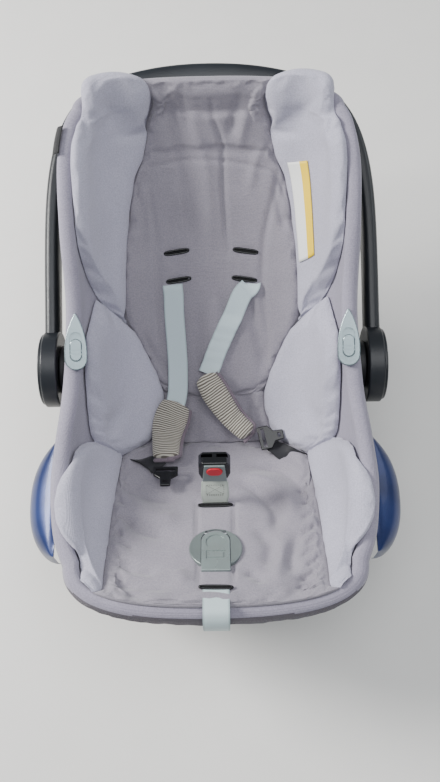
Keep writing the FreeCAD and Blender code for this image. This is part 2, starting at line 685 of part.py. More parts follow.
keel_low = grounded(keel)
keel_high = [p for p, t in smooth_path(keel_curve(FLANGE_T), 60)]
keel_middle = [(a + b) * 0.5 for a, b in zip(keel_low, keel_high)]
web = plate([V(0, p.y, p.z) for p in top_line] + keel_middle, web_x, web_x + RUNNER_T)
flange = plate(keel_low[4:-3] + keel_high[4:-3][::-1], RUNNER_X - FLANGE_W / 2, RUNNER_X + FLANGE_W / 2)
runner = web.fuse(flange)
core = layer(0.0, LAST, -1, 1, -WALL - 0.3, 40, 19, 17)
BAR_R = 5.0
BARS = [(FRONT_Y + 168, 46.0), (FRONT_Y + 372, 46.0)]
RAIL_Y, RAIL_Z = FRONT_Y + 270, 34.0
bars = []
for y, z in BARS:
    bar = rod(BAR_R, 2 * RUNNER_X - 2, V(-RUNNER_X + 1, y, z), V(1, 0, 0))
    runner = runner.cut(rod(BAR_R + 0.02, 40, V(RUNNER_X - 20, y, z), V(1, 0, 0)))
    bars.append(bar)
FOOT_YS = (FRONT_Y + 196, FRONT_Y + 336)
export(mirror(runner), "rocker_runner_left")
export(runner, "rocker_runner_right")
export(Part.makeCompound(bars), "latch_bars")
rail = box(-web_x, web_x, RAIL_Y - 24, RAIL_Y + 24, RAIL_Z - 12, RAIL_Z + 12)
rail = rail.cut(box(-web_x - 5, web_x + 5, RAIL_Y - 21, RAIL_Y + 21, RAIL_Z - 15, RAIL_Z + 9))
export(rail, "base_cross_rail")
feet = []
for x in (-RUNNER_X, RUNNER_X):
    for y in FOOT_YS:
        feet.append(box(x - 9, x + 9, y - 17, y + 17, 0, FOOT_H))
export(Part.makeCompound(feet), "foot_pads")

# ---------------------------------------------------------------- rear compartment, belt guide
LID_X, LID_LOW, LID_HIGH, LID_DEPTH = 67.0, -72.0, 56.0, 30.0
LID_WALL = 2.4
lid = box(-LID_X, LID_X, LID_LOW, LID_HIGH, -LID_DEPTH, -7)
lid = rounded(lid, 6.0, [e for e in lid.Edges if abs(e.BoundBox.ZMin + LID_DEPTH) < 0.1
                         and e.BoundBox.ZLength < 0.1])
lid = lid.cut(box(-LID_X + LID_WALL, LID_X - LID_WALL, LID_LOW + LID_WALL, LID_HIGH - LID_WALL,
                  -LID_DEPTH + LID_WALL, 5))
lid = lid.cut(box(-18, 18, LID_LOW - 5, LID_LOW + 12, -25, 5))
HINGE_Y, HINGE_Z = LID_LOW - 5.5, -24.0
for x in (-LID_X, LID_X - 16):
    ear = rod(4.0, 16, V(x, HINGE_Y, HINGE_Z), V(1, 0, 0))
    ear = ear.fuse(box(x, x + 16, HINGE_Y, LID_LOW + 1, HINGE_Z - 2, HINGE_Z + 2))
    lid = lid.fuse(ear)
lid = lid.cut(rod(1.5 + PIN_PLAY, 200, V(-100, HINGE_Y, HINGE_Z), V(1, 0, 0))).removeSplitter()
export(tilt(lid, BACK_ANGLE, slot_mid), "rear_lid")
lugs = []
for x in (-LID_X - 6, LID_X + 1):
    lug = box(x, x + 5, HINGE_Y - 5, HINGE_Y + 5, HINGE_Z - 5, 14)
    lug = lug.cut(rod(1.51, 200, V(-100, HINGE_Y, HINGE_Z), V(1, 0, 0)))
    lugs.append(tilt(lug, BACK_ANGLE, slot_mid).cut(core))
lugs = [max(lug.Solids, key=lambda s: -s.BoundBox.ZMin) for lug in lugs]
export(Part.makeCompound(lugs), "lid_lugs")
lid_pin = rod(1.5, 2 * LID_X + 12, V(-LID_X - 6, HINGE_Y, HINGE_Z), V(1, 0, 0))
export(tilt(lid_pin, BACK_ANGLE, slot_mid), "lid_pin")
GUIDE_U, GUIDE_ANGLE = 7.45, 44.0
guide = box(-34, 34, -12, 12, -7, 12)
guide = guide.fuse(box(-34, 34, -12, -6, -28, 0)).fuse(box(-34, 34, -12, 16, -32, -27))
guide = tilt(guide.removeSplitter(), GUIDE_ANGLE, surf(GUIDE_U, 0, -WALL)).cut(core)
guide = min(guide.Solids, key=lambda s: s.BoundBox.ZMin)
export(guide, "shoulder_belt_guide")

# ---------------------------------------------------------------- pivot bosses and pins
boss = rod(BOSS_R, 24.5, boss_axis + V(-HUB_IN + 0.6, 0, 0), V(1, 0, 0))
boss = rounded(boss, 2.0, [e for e in boss.Edges if e.BoundBox.XMax < -HUB_IN + 0.7])
boss = boss.cut(core)
boss = min(boss.Solids, key=lambda s: s.BoundBox.XMin)
boss = boss.cut(rod(PIN_R + 0.01, 60, boss_axis + V(-220, 0, 0), V(1, 0, 0)))
export(Part.makeCompound([boss, mirror(boss)]), "pivot_bosses")
pivot_pin = rod(PIN_R, 31, boss_axis + V(-HUB_OUT + 6.5, 0, 0), V(1, 0, 0))
export(Part.makeCompound([pivot_pin, mirror(pivot_pin)]), "pivot_pins")

# ---------------------------------------------------------------- handle, drawn flat about its axis
ARM_PATH = [(194.5, 20), (195.0, 90), (195.5, 160), (193.5, 220), (186.5, 270), (172, 311),
            (150, 339), (125, 355), (98, 363.5)]
BAR_PATH = [(98, 363.5), (55, 371.5), (0, 374.5), (-55, 371.5), (-98, 363.5)]


def arm_size(s):
    """Half width in the bow's plane and half thickness across it."""
    return table([(0, 9.5, 19.0), (0.35, 9.8, 16.5), (0.7, 10.5, 14.0), (1, 12.6, 12.6)], s)


def bar_size(s):
    return 12.6 + 0.9 * math.sin(math.pi * s), 12.6 + 0.4 * math.sin(math.pi * s)


def tube(path, size, count, start=None, end=None):
    wires = []
    stations = smooth_path([V(x, r, 0) for x, r in path], count)
    for i, (p, t) in enumerate(stations):
        if i == 0 and start:
            t = start
        if i == count - 1 and end:
            t = end
        side = V(-t.y, t.x, 0)
        a, b = size(i / (count - 1.0))
        ring = []
        for k in range(20):
            angle = 2 * math.pi * k / 20
            cx = math.copysign(abs(math.cos(angle)) ** 0.72, math.cos(angle))
            cz = math.copysign(abs(math.sin(angle)) ** 0.72, math.sin(angle))
            ring.append(p + side * (a * cx) + V(0, 0, b * cz))
        curve = Part.BSplineCurve()
        curve.interpolate(ring, True)
        wires.append(Part.Wire([curve.toShape()]))
    return Part.makeLoft(wires, True, False)


joint_dir = V(-43, 9.5, 0)
joint_dir.normalize()
arm = tube(ARM_PATH, arm_size, 26, end=joint_dir)
disc = rounded(rod(HUB_R, HUB_OUT - HUB_IN, V(HUB_IN, 0, 0), V(1, 0, 0)), 2.0)
arm = arm.fuse(disc).removeSplitter()
arm = arm.cut(rod(PIN_R + PIN_PLAY, 60, V(170, 0, 0), V(1, 0, 0)))
arm = arm.cut(rod(BUTTON_R + 0.4, 20, V(HUB_OUT - 6, 0, 0), V(1, 0, 0)))
grip = tube(BAR_PATH, bar_size, 17, start=joint_dir, end=V(joint_dir.x, -joint_dir.y, 0))
cap = rod(HUB_R - 3, CAP_OUT - HUB_OUT, V(HUB_OUT + 0.02, 0, 0), V(1, 0, 0))
cap = rounded(cap, 1.5, [e for e in cap.Edges if e.BoundBox.XMin > CAP_OUT - 0.1])
arm = arm.cut(rod(HUB_R - 2.9, 20, V(HUB_OUT, 0, 0), V(1, 0, 0)))
cap = cap.cut(rod(BUTTON_R + 0.4, 20, V(HUB_OUT - 6, 0, 0), V(1, 0, 0)))
push = rod(BUTTON_R, 7.5, V(HUB_OUT - 1.5, 0, 0), V(1, 0, 0))
push = rounded(push, 1.2)


def at_rest(shape):
    return tilt(shape, HANDLE_REST, boss_axis)


for shape, name in ((arm, "handle_arm"), (cap, "hub_cap"), (push, "handle_button")):
    placed = at_rest(shape)
    export(mirror(placed), name + "_left")
    export(placed, name + "_right")
export(at_rest(grip), "handle_grip")

# ---------------------------------------------------------------- shell screws
screws = []
for side in (-1, 1):
    for u in (4.35, 5.9, 7.3):
        p = under(u, RUNNER_X - 22)
        n = (surf(u, 0.4, 0) - surf(u, 0.4, -WALL))
        n.normalize()
        head = rod(4.0, 2.2, p - n * 2.4, n)
        screws.append(head if side > 0 else mirror(head))
screws = [screw.cut(core) for screw in screws]
export(Part.makeCompound(screws), "shell_screws")
print("overall", extent)

for label, point in (("lever axis", tilt(Part.Vertex(0, LEVER_Y, LEVER_Z), ADJUST_ANGLE, adjust_origin)),
                     ("lid axis", tilt(Part.Vertex(0, HINGE_Y, HINGE_Z), BACK_ANGLE, slot_mid)),
                     ("guide gap", tilt(Part.Vertex(0, 5, -17), GUIDE_ANGLE, surf(GUIDE_U, 0, -WALL)))):
    print(label, [round(c, 2) for c in point.Point])
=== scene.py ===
# %% [markdown]
# # An infant car seat, dressed for its picture
# The frame, the handle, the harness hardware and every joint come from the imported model. What it lacks is
# everything soft, and every finish. This script sews the cover and its pads, lays the webbing, mixes the
# materials, and ends with the lights and the camera.

# %% Load the frame
import math

import bmesh
import bpy
from mathutils import Matrix, Vector, noise
from mathutils.bvhtree import BVHTree


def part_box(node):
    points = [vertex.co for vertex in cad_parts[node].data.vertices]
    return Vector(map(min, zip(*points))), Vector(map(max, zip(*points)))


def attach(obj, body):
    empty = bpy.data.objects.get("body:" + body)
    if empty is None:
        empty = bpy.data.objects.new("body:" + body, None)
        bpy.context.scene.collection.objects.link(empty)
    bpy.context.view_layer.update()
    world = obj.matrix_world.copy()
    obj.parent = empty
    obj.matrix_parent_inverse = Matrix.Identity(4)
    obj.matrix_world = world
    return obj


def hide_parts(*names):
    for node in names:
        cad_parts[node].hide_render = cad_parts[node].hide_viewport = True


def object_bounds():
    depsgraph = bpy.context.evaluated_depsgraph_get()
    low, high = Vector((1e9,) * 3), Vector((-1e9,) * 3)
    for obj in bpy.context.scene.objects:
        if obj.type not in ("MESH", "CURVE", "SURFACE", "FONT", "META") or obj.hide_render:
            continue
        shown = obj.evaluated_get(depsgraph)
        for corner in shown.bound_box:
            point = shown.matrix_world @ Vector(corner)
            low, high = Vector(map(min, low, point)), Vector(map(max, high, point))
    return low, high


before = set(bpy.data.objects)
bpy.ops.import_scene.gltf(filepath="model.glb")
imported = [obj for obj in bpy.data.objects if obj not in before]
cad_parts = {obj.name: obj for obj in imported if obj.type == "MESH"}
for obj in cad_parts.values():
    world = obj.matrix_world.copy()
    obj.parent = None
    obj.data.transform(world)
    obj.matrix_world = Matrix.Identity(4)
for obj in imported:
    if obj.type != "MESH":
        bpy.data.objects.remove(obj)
cad_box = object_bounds()

# %% [markdown]
# ## A paint box
# Each finish is a small node tree. One helper starts the tree and hands back its shader, so the later cells
# only say what is special about a finish. Numbers that are the same all over a piece go straight on the
# shader's own sockets.

# %% Start a material
PRINCIPLED = {"colour": "Base Color", "rough": "Roughness", "metal": "Metallic", "sheen": "Sheen Weight",
              "sheen_rough": "Sheen Roughness", "coat": "Coat Weight", "coat_rough": "Coat Roughness",
              "ior": "IOR", "specular": "Specular IOR Level"}


def start_material(name, **values):
    material = bpy.data.materials.new(name)
    material.use_nodes = True
    tree = material.node_tree
    shader = tree.nodes["Principled BSDF"]
    for key, value in values.items():
        shader.inputs[PRINCIPLED[key]].default_value = value
    return material, tree, shader


def add(tree, kind, *sources, **settings):
    """A new node. Each source feeds the input in its place: a socket by a link, a number as it is."""
    node = tree.nodes.new("ShaderNode" + kind)
    for key, value in settings.items():
        if key in node.inputs:
            node.inputs[key].default_value = value
        else:
            setattr(node, key, value)
    for socket, source in zip(node.inputs, sources):
        if isinstance(source, bpy.types.NodeSocket):
            tree.links.new(source, socket)
        else:
            socket.default_value = source
    return node


def maths(tree, operation, *sources):
    return add(tree, "Math", *sources, operation=operation).outputs[0]


def pattern(tree, kind, output=0, **settings):
    """A texture that lies on the piece's own coordinates."""
    place = add(tree, "TexCoord")
    texture = add(tree, kind, **settings)
    tree.links.new(place.outputs["Object"], texture.inputs["Vector"])
    return texture.outputs[output]


def rgb(red, green, blue):
    """A colour given as it looks on a screen, 0 to 255, turned into the linear light that shaders use."""
    def linear(c):
        c = c / 255.0
        return c / 12.92 if c <= 0.04045 else ((c + 0.055) / 1.055) ** 2.4
    return linear(red), linear(green), linear(blue), 1.0


def shade(colour, factor):
    return colour[0] * factor, colour[1] * factor, colour[2] * factor, 1.0


# %% [markdown]
# ### Mixing two colours by a pattern
# Almost every finish is two close colours, mixed by a pattern that says where the cloth is worn or the
# plastic is scuffed. The same pattern, or a finer one, then drives the bump.

# %% Colour and bump helpers
def mix_by(tree, pattern_socket, low, high, start=0.35, end=0.65):
    ramp = add(tree, "ValToRGB", pattern_socket)
    for element, position, colour in zip(ramp.color_ramp.elements, (start, end), (low, high)):
        element.position = position
        element.color = colour
    return ramp.outputs[0]


def paint(tree, shader, colour):
    tree.links.new(colour, shader.inputs["Base Color"])


def multiply(tree, first, second):
    blend = add(tree, "Mix", 1.0, data_type="RGBA", blend_type="MULTIPLY")
    tree.links.new(first, blend.inputs[6])
    tree.links.new(second, blend.inputs[7])
    return blend.outputs[2]


def bump_from(tree, shader, height, strength, distance, below=None):
    bump = add(tree, "Bump", Strength=strength, Distance=distance)
    tree.links.new(height, bump.inputs["Height"])
    if below:
        tree.links.new(below, bump.inputs["Normal"])
    tree.links.new(bump.outputs[0], shader.inputs["Normal"])
    return bump.outputs[0]


# %% [markdown]
# ## Cloth
# The cover is a fine warp-knit jersey over thin foam. Close up it is rows of tiny loops; from a step away it
# is a soft heathered grey with a bright edge where light skims its fuzz. Crossed wave textures make the
# loops, noise textures break them up, and sheen gives the edge.

# %% Jersey cloth
LOOP = 0.0011


def jersey(name, colour, depth=0.5, fuzz=0.35):
    material, tree, shader = start_material(name, rough=0.86, sheen=fuzz, sheen_rough=0.45, specular=0.25)
    cloud = pattern(tree, "TexNoise", Scale=9.0, Detail=3.0, Roughness=0.6)
    heather = pattern(tree, "TexNoise", Scale=700.0, Detail=2.0)
    broad = mix_by(tree, cloud, shade(colour, 0.93), shade(colour, 1.05), 0.3, 0.7)
    fine = mix_by(tree, heather, (0.86, 0.86, 0.87, 1), (1.08, 1.08, 1.07, 1), 0.35, 0.65)
    paint(tree, shader, multiply(tree, broad, fine))
    ribs = [pattern(tree, "TexWave", "Fac", wave_type="BANDS", bands_direction=direction,
                    Scale=1.0 / LOOP / 3.2, Distortion=0.6) for direction in "XYZ"]
    weave = maths(tree, "ADD", maths(tree, "MULTIPLY", ribs[0], ribs[1]), ribs[2])
    rumple = pattern(tree, "TexNoise", Scale=38.0, Detail=4.0)
    soft = bump_from(tree, shader, rumple, 0.1, 0.003)
    bump_from(tree, shader, weave, depth, 0.0004, soft)
    return material


cover_cloth = jersey("cover_jersey", rgb(156, 151, 167))
pad_cloth = jersey("pad_jersey", rgb(185, 183, 199))
panel_cloth = jersey("panel_jersey", rgb(150, 145, 155))
hem_cloth = jersey("hem_elastic", rgb(96, 90, 100), 0.8, 0.2)
print("cloths:", cover_cloth.name, pad_cloth.name, hem_cloth.name)

# %% [markdown]
# ## Plastics and metal
# The shell and handle are injection-moulded with a fine spark-eroded grain: tiny dimples that turn a mirror
# into a satin. Handled places are a little shinier, so a broad noise also moves the roughness.

# %% Moulded plastic
def moulded(name, colour, rough=0.45, grain=0.3, coat=0.0, metal=0.0, speck=1400.0, mottle=0.19):
    material, tree, shader = start_material(name, rough=rough, coat=coat, coat_rough=0.08, metal=metal)
    cloud = pattern(tree, "TexNoise", Scale=14.0, Detail=4.0)
    tint = mix_by(tree, cloud, shade(colour, 1 - mottle), shade(colour, 1 + mottle), 0.3, 0.72)
    paint(tree, shader, tint)
    wear = add(tree, "MapRange", cloud)
    wear.inputs["To Min"].default_value = max(rough - 0.08, 0.03)
    wear.inputs["To Max"].default_value = rough + 0.1
    tree.links.new(wear.outputs[0], shader.inputs["Roughness"])
    if grain:
        bump_from(tree, shader, pattern(tree, "TexVoronoi", "Distance", Scale=speck), grain, 0.0003)
    return material


shell_black = moulded("shell_black", rgb(34, 35, 38), 0.5, 0.35)
handle_black = moulded("handle_black", rgb(30, 33, 38), 0.36, 0.25)
gloss_black = moulded("gloss_black", rgb(17, 18, 20), 0.22, 0.05)
adjuster_grey = moulded("adjuster_grey", rgb(124, 134, 132), 0.3, 0.12, metal=0.35)
lever_grey = moulded("lever_grey", rgb(140, 152, 150), 0.26, 0.1, metal=0.35)
leaf_silver = moulded("leaf_silver", rgb(136, 150, 154), 0.24, 0.06, metal=0.7)
signal_red = moulded("signal_red", rgb(200, 20, 40), 0.4, 0.04, coat=0.1)
foam_white = moulded("bead_foam", rgb(190, 190, 194), 0.9, 0.9, speck=330.0)
rubber = moulded("foot_rubber", rgb(24, 24, 25), 0.75, 0.5)
# Near-black matte paint for the sheets that fill the slot openings: painted shade, not a real part.
slot_shade_paint = moulded("slot_shade_paint", rgb(12, 12, 13), 0.9, 0.2)


# %% [markdown]
# The belt hooks are moulded in a navy plastic with a pearl pigment. Tiny flakes in two blues, a little metal
# in the base and a clear coat give the broad glow and the hard highlight.

# %% Pearl navy and steel
def pearl(name, deep, bright):
    material, tree, shader = start_material(name, rough=0.3, metal=0.2, coat=0.15, coat_rough=0.06,
                                            specular=0.3)
    flake = pattern(tree, "TexVoronoi", "Distance", Scale=2200.0)
    cloud = pattern(tree, "TexNoise", Scale=22.0, Detail=2.0)
    both = maths(tree, "MULTIPLY_ADD", flake, 0.5, cloud)
    paint(tree, shader, mix_by(tree, both, deep, bright, 0.4, 1.0))
    bump_from(tree, shader, flake, 0.06, 0.0002)
    return material


def brushed(name, colour):
    material, tree, shader = start_material(name, metal=1.0, rough=0.3)
    place = add(tree, "TexCoord")
    stretch = add(tree, "Mapping", place.outputs["Object"], Scale=(20, 900, 900))
    lines = add(tree, "TexNoise", stretch.outputs[0], Scale=1.0, Detail=3.0).outputs[0]
    paint(tree, shader, mix_by(tree, lines, shade(colour, 0.8), colour))
    bump_from(tree, shader, lines, 0.2, 0.0002)
    return material


hook_navy = pearl("hook_navy", rgb(20, 28, 62), rgb(44, 60, 112))
steel = brushed("zinc_steel", rgb(176, 178, 182))


# %% [markdown]
# ### Dressing the hardware
# The moulded pieces already have their true shape, so each only needs its finish. A table says which piece
# wears which, by the start of its name.

# %% Finish the CAD nodes
FINISHES = [
    (shell_black, ("bucket_shell", "rocker_runner", "base_cross_rail", "rear_lid", "lid_lugs", "pivot_bosses")),
    (steel, ("latch_bars", "lid_pin", "lever_pin", "pivot_pins", "shell_screws", "crotch_anchor_plate",
             "harness_yoke")),
    (handle_black, ("handle_arm", "handle_grip", "hub_cap")),
    (adjuster_grey, ("handle_button", "buckle_frame", "adjuster_housing")),
    (gloss_black, ("buckle_body", "buckle_tongue")),
    (leaf_silver, ("release_bezel", "release_slider")),
    (hook_navy, ("belt_hook", "shoulder_belt_guide")),
    (foam_white, ("head_foam",)), (rubber, ("foot_pads",)), (signal_red, ("buckle_button",)),
    (lever_grey, ("adjuster_lever",)),
]
dressed = 0
for material, starts in FINISHES:
    for node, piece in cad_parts.items():
        if node.startswith(starts):
            piece.data.materials.clear()
            piece.data.materials.append(material)
            dressed += 1
print("dressed", dressed, "hardware pieces")

# %% [markdown]
# ## The bucket's lines plan
# A moulder draws a bucket as a few cross sections and lets a smooth curve run through them. The soft goods
# lie on that same bucket, so the same sections are written here once, in millimetres. u counts the sections
# from the foot end, v runs across from -1 at the left rim to 1 at the right, and h is the height above the
# shell's inner face. Past the last section, and past 1 on either side, a point swings over the rim instead:
# the same height is then measured up and at last outwards from the rim's edge.

# %% Points on the bucket
FRONT_Y = -338.1
SECTION_POWER = 2.6
STATIONS = [
    (8, 222, 62, 222, 160, 100, 262), (40, 194, 96, 222, 172, 125, 258), (120, 142, 150, 223, 178, 165, 250),
    (205, 98, 205, 228, 174, 205, 240), (262, 90, 265, 241, 166, 245, 240), (345, 133, 350, 279, 161, 310, 258),
    (440, 202, 425, 328, 165, 380, 300), (530, 272, 490, 362, 166, 440, 340),
    (578, 330, 530, 376, 159, 475, 365),
    (590, 370, 548, 381, 150, 480, 372)]
LAST = len(STATIONS) - 1


def smooth(a, b, c, d, t):
    """The smooth curve from b to c that also heeds its neighbours a and d."""
    return 0.5 * (2 * b + (c - a) * t + (2 * a - 5 * b + 4 * c - d) * t * t + (3 * b - a - 3 * c + d) * t ** 3)


def station(u):
    i = min(max(int(u), 0), LAST - 1)
    rows = [STATIONS[min(max(k, 0), LAST)] for k in (i - 1, i, i + 1, i + 2)]
    return [smooth(*four, u - i) for four in zip(*rows)]


MM = 0.001
END_WRAP, CREST_WRAP, SIDE_WRAP = 0.5, 0.55, 0.1
END_TURN, SIDE_TURN, FULL_TURN = math.radians(125), math.radians(90), math.radians(140)


def roll_over(x):
    return math.sqrt(max(1 - (1 - min(max(x, 0.0), 1.0)) ** 2, 0.0))


def bowl(u, v, h=0.0, crest=0.0):
    """crest is how far, in mm, a pad stands up past the head end before it rolls over."""
    spine_y, spine_z, rim_y, rim_z, half, centre_y, centre_z = station(min(max(u, 0.0), LAST))
    past = max(u - LAST, -u, 0.0) / END_WRAP
    if crest:
        past = max(u - LAST + CREST_WRAP, 0.0) / (END_WRAP + CREST_WRAP)
    stand = crest * roll_over((u - 7.9) / 1.35) * roll_over((9.62 - u) / 0.45)
    turn = min(END_TURN * past + SIDE_TURN * max(abs(v) - 1, 0.0) / SIDE_WRAP, FULL_TURN)
    angle = min(max(v, -1.0), 1.0) * math.pi / 2
    radius = (abs(math.cos(angle)) ** SECTION_POWER +
              abs(math.sin(angle)) ** SECTION_POWER) ** (-1 / SECTION_POWER)
    rise = 1 - radius * math.cos(angle)
    point = Vector((half * radius * math.sin(angle), spine_y + (rim_y - spine_y) * rise,
                    spine_z + (rim_z - spine_z) * rise))
    inward = (Vector((0, centre_y, centre_z)) - point).normalized()
    up = (Vector((0, 0, 1)) - inward * inward.z).normalized()
    lifted = inward * math.cos(turn) + up * math.sin(turn)
    return (point + lifted * h + Vector((0, FRONT_Y + stand * 0.2, stand * 0.98))) * MM


print("bowl front lip", round(bowl(0, 0).y, 4), "shell starts at", round(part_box("bucket_shell")[0][1], 4))

# %% [markdown]
# ### Small tools for soft shapes
# Almost every soft piece is a sheet of squares wrapped into a form: a pillow, a sleeve, a bead of piping.
# One helper makes the sheet, moves its points with a rule, and welds the edges that meet.

# %% Sheet, spline and table helpers
def new_piece(name, bm, *materials):
    mesh = bpy.data.meshes.new(name)
    bm.to_mesh(mesh)
    bm.free()
    for material in materials:
        mesh.materials.append(material)
    piece = bpy.data.objects.new(name, mesh)
    bpy.context.scene.collection.objects.link(piece)
    return piece


WELD = 0.00002


def wrap_sheet(name, long, across, place, material, with_uv=False, finish=None):
    """place(s, t) gives the point of a sheet for s and t from 0 to 1; finish(s, t) picks a face's material."""
    bm = bmesh.new()
    bmesh.ops.create_grid(bm, x_segments=long, y_segments=across, size=0.5)
    if finish:
        for face in bm.faces:
            middle = face.calc_center_median()
            face.material_index = finish(middle.x + 0.5, middle.y + 0.5)
    if with_uv:
        layer = bm.loops.layers.uv.new("cloth")
        for face in bm.faces:
            for loop in face.loops:
                loop[layer].uv = (loop.vert.co.y + 0.5, loop.vert.co.x + 0.5)
    for vert in bm.verts:
        vert.co = place(vert.co.x + 0.5, vert.co.y + 0.5)
    bmesh.ops.remove_doubles(bm, verts=bm.verts, dist=WELD)
    bmesh.ops.dissolve_degenerate(bm, edges=bm.edges, dist=WELD / 2)
    bmesh.ops.recalc_face_normals(bm, faces=bm.faces)
    for face in bm.faces:
        face.smooth = True
    return new_piece(name, bm, material)


def table(rows, x):
    if x <= rows[0][0]:
        return rows[0][1:]
    for low, high in zip(rows, rows[1:]):
        if x <= high[0]:
            t = (x - low[0]) / (high[0] - low[0])
            t = 0.5 * t + 0.5 * t * t * (3 - 2 * t)
            return tuple(a + (b - a) * t for a, b in zip(low[1:], high[1:]))
    return rows[-1][1:]


def spline(points, s):
    """A point on the smooth curve through some points, s from 0 to 1."""
    place = min(max(s, 0.0), 1.0) * (len(points) - 1)
    i = min(int(place), len(points) - 2)
    return smooth(*(points[min(max(k, 0), len(points) - 1)] for k in (i - 1, i, i + 1, i + 2)), place - i)


FINE_STEPS = 400


def even(points, count):
    """The same curve as points at equal distances."""
    fine = [spline(points, k / FINE_STEPS) for k in range(FINE_STEPS + 1)]
    run = [0.0]
    for a, b in zip(fine, fine[1:]):
        run.append(run[-1] + (b - a).length)
    out = []
    i = 0
    for k in range(count):
        wanted = run[-1] * k / (count - 1)
        while i < FINE_STEPS - 1 and run[i + 1] < wanted:
            i += 1
        part = (wanted - run[i]) / max(run[i + 1] - run[i], 1e-9)
        out.append(fine[i].lerp(fine[i + 1], min(part, 1.0)))
    return out


def path_axes(path, i):
    """The direction of a path at a point, and the level direction across it."""
    along = (path[min(i + 1, len(path) - 1)] - path[max(i - 1, 0)]).normalized()
    return along, (Vector((1, 0, 0)) - along * along.x).normalized()


def signed_power(value, power):
    return math.copysign(abs(value) ** power, value)


def bake_modifiers(piece):
    bpy.context.view_layer.update()
    graph = bpy.context.evaluated_depsgraph_get()
    mesh = bpy.data.meshes.new_from_object(piece.evaluated_get(graph))
    piece.modifiers.clear()
    piece.data = mesh
    return piece


def subdivide(piece, levels=1):
    subdivision = piece.modifiers.new("subdivision", "SUBSURF")
    subdivision.levels = levels
    subdivision.render_levels = levels


def thicken(piece, wall, offset=0.0):
    solidify = piece.modifiers.new("thickness", "SOLIDIFY")
    solidify.thickness = wall
    solidify.offset = offset


# %% [markdown]
# ## Padded panels
# Each pad is a pillow sewn into the cover along its whole outline: flat underneath, steep beside the seam,
# crowned in the middle. Its outline is a short table of where the two seams run. The pillow is then filled
# in a cloth simulation with its seams pinned, so the jersey puckers where the seam holds it back.

# %% Shape and fill one pad
SEAM_HEIGHT = 12


def pillow(name, outline, side, base, puff, material, rows=60, columns=26, edge_in=0.02, edge_end=0.026,
           crest=0.0):
    """outline rows are (u, inner v, outer v); side is -1, 1, or 0 for a panel across the middle."""
    start, end = outline[0][0], outline[-1][0]

    def place(s, w):
        s = 0.5 - 0.5 * math.cos(math.pi * s)
        top = w <= 0.5
        t = 2 * w if top else 2 - 2 * w
        t = 0.5 - 0.5 * math.cos(math.pi * t)
        u = start + (end - start) * s
        inner, outer = table(outline, u)
        v = (side or 1) * (inner + (outer - inner) * t)
        width = (bowl(u, outer, SEAM_HEIGHT) - bowl(u, inner, SEAM_HEIGHT)).length
        reach = min(s, 1 - s) * length
        height = roll_over(min(t, 1 - t) * width / edge_in) * roll_over(reach / edge_end)
        crown = 0.82 + 0.18 * math.sin(math.pi * t) * math.sin(math.pi * s) ** 0.5
        if not top:
            return bowl(u, v, base, crest)
        return bowl(u, v, base + 1.0 + puff * height * crown, crest)

    def halfway(u):
        return bowl(u, sum(table(outline, u)) / 2 * (side or 1), SEAM_HEIGHT)

    middle = [halfway(start + (end - start) * k / 20) for k in range(21)]
    length = sum((b - a).length for a, b in zip(middle, middle[1:]))
    return wrap_sheet(name, rows, 2 * columns, place, material)


# %% [markdown]
# The simulation starts from the pillow's own shape. Points on the seam and underneath are pinned, the cloth is
# cut a little large, and the pressure pushes it out. Each point may move only a few millimetres.

# %% Cloth simulation of one pad
SIM_FRAMES = 16
HEART = Vector((0, 0.02, 0.3))


PRESSURE = 3.0
BULGE_CAP = 0.004
SEAM_REACH = 0.0045


def skin_of(piece):
    return BVHTree.FromPolygons([v.co for v in piece.data.vertices], [p.vertices for p in piece.data.polygons])


def pin_seam(piece):
    """Pin the underside, and whatever is too thin to hold filling."""
    group = piece.vertex_groups.new(name="seam")
    tree = skin_of(piece)
    for vertex in piece.data.vertices:
        facing = vertex.normal
        hit = tree.ray_cast(vertex.co - facing * 0.0006, -facing, 0.06)
        thin = hit[3] is not None and hit[3] < SEAM_REACH
        if thin or facing.dot(HEART - vertex.co) < 0:
            group.add([vertex.index], 1.0, "REPLACE")


def fill_with_fibre(piece, slack):
    start = [v.co.copy() for v in piece.data.vertices]
    pin_seam(piece)
    cloth = piece.modifiers.new("cloth", "CLOTH")
    settings = cloth.settings
    settings.quality = 5
    settings.mass = 0.15
    settings.tension_stiffness = settings.compression_stiffness = 10
    settings.shear_stiffness = 5
    settings.bending_stiffness = 0.35
    settings.shrink_min = -slack
    settings.use_pressure = True
    settings.uniform_pressure_force = PRESSURE
    settings.effector_weights.gravity = 0.0
    settings.vertex_group_mass = "seam"
    cloth.collision_settings.use_collision = False
    cloth.point_cache.frame_end = SIM_FRAMES
    scene = bpy.context.scene
    for step in range(1, SIM_FRAMES + 1):
        scene.frame_set(step)
    bake_modifiers(piece)
    scene.frame_set(1)
    furthest = 0.0
    for vertex, before in zip(piece.data.vertices, start):
        move = vertex.co - before
        furthest = max(furthest, move.length)
        if move.length > BULGE_CAP:
            vertex.co = before + move * (BULGE_CAP / move.length)
    return furthest


# %% [markdown]
# ### Folds and slots
# A fold is a groove or a ridge along a short curve on the pad, fading to both sides. It is pressed in after
# the filling, because the filling would blow it out again.

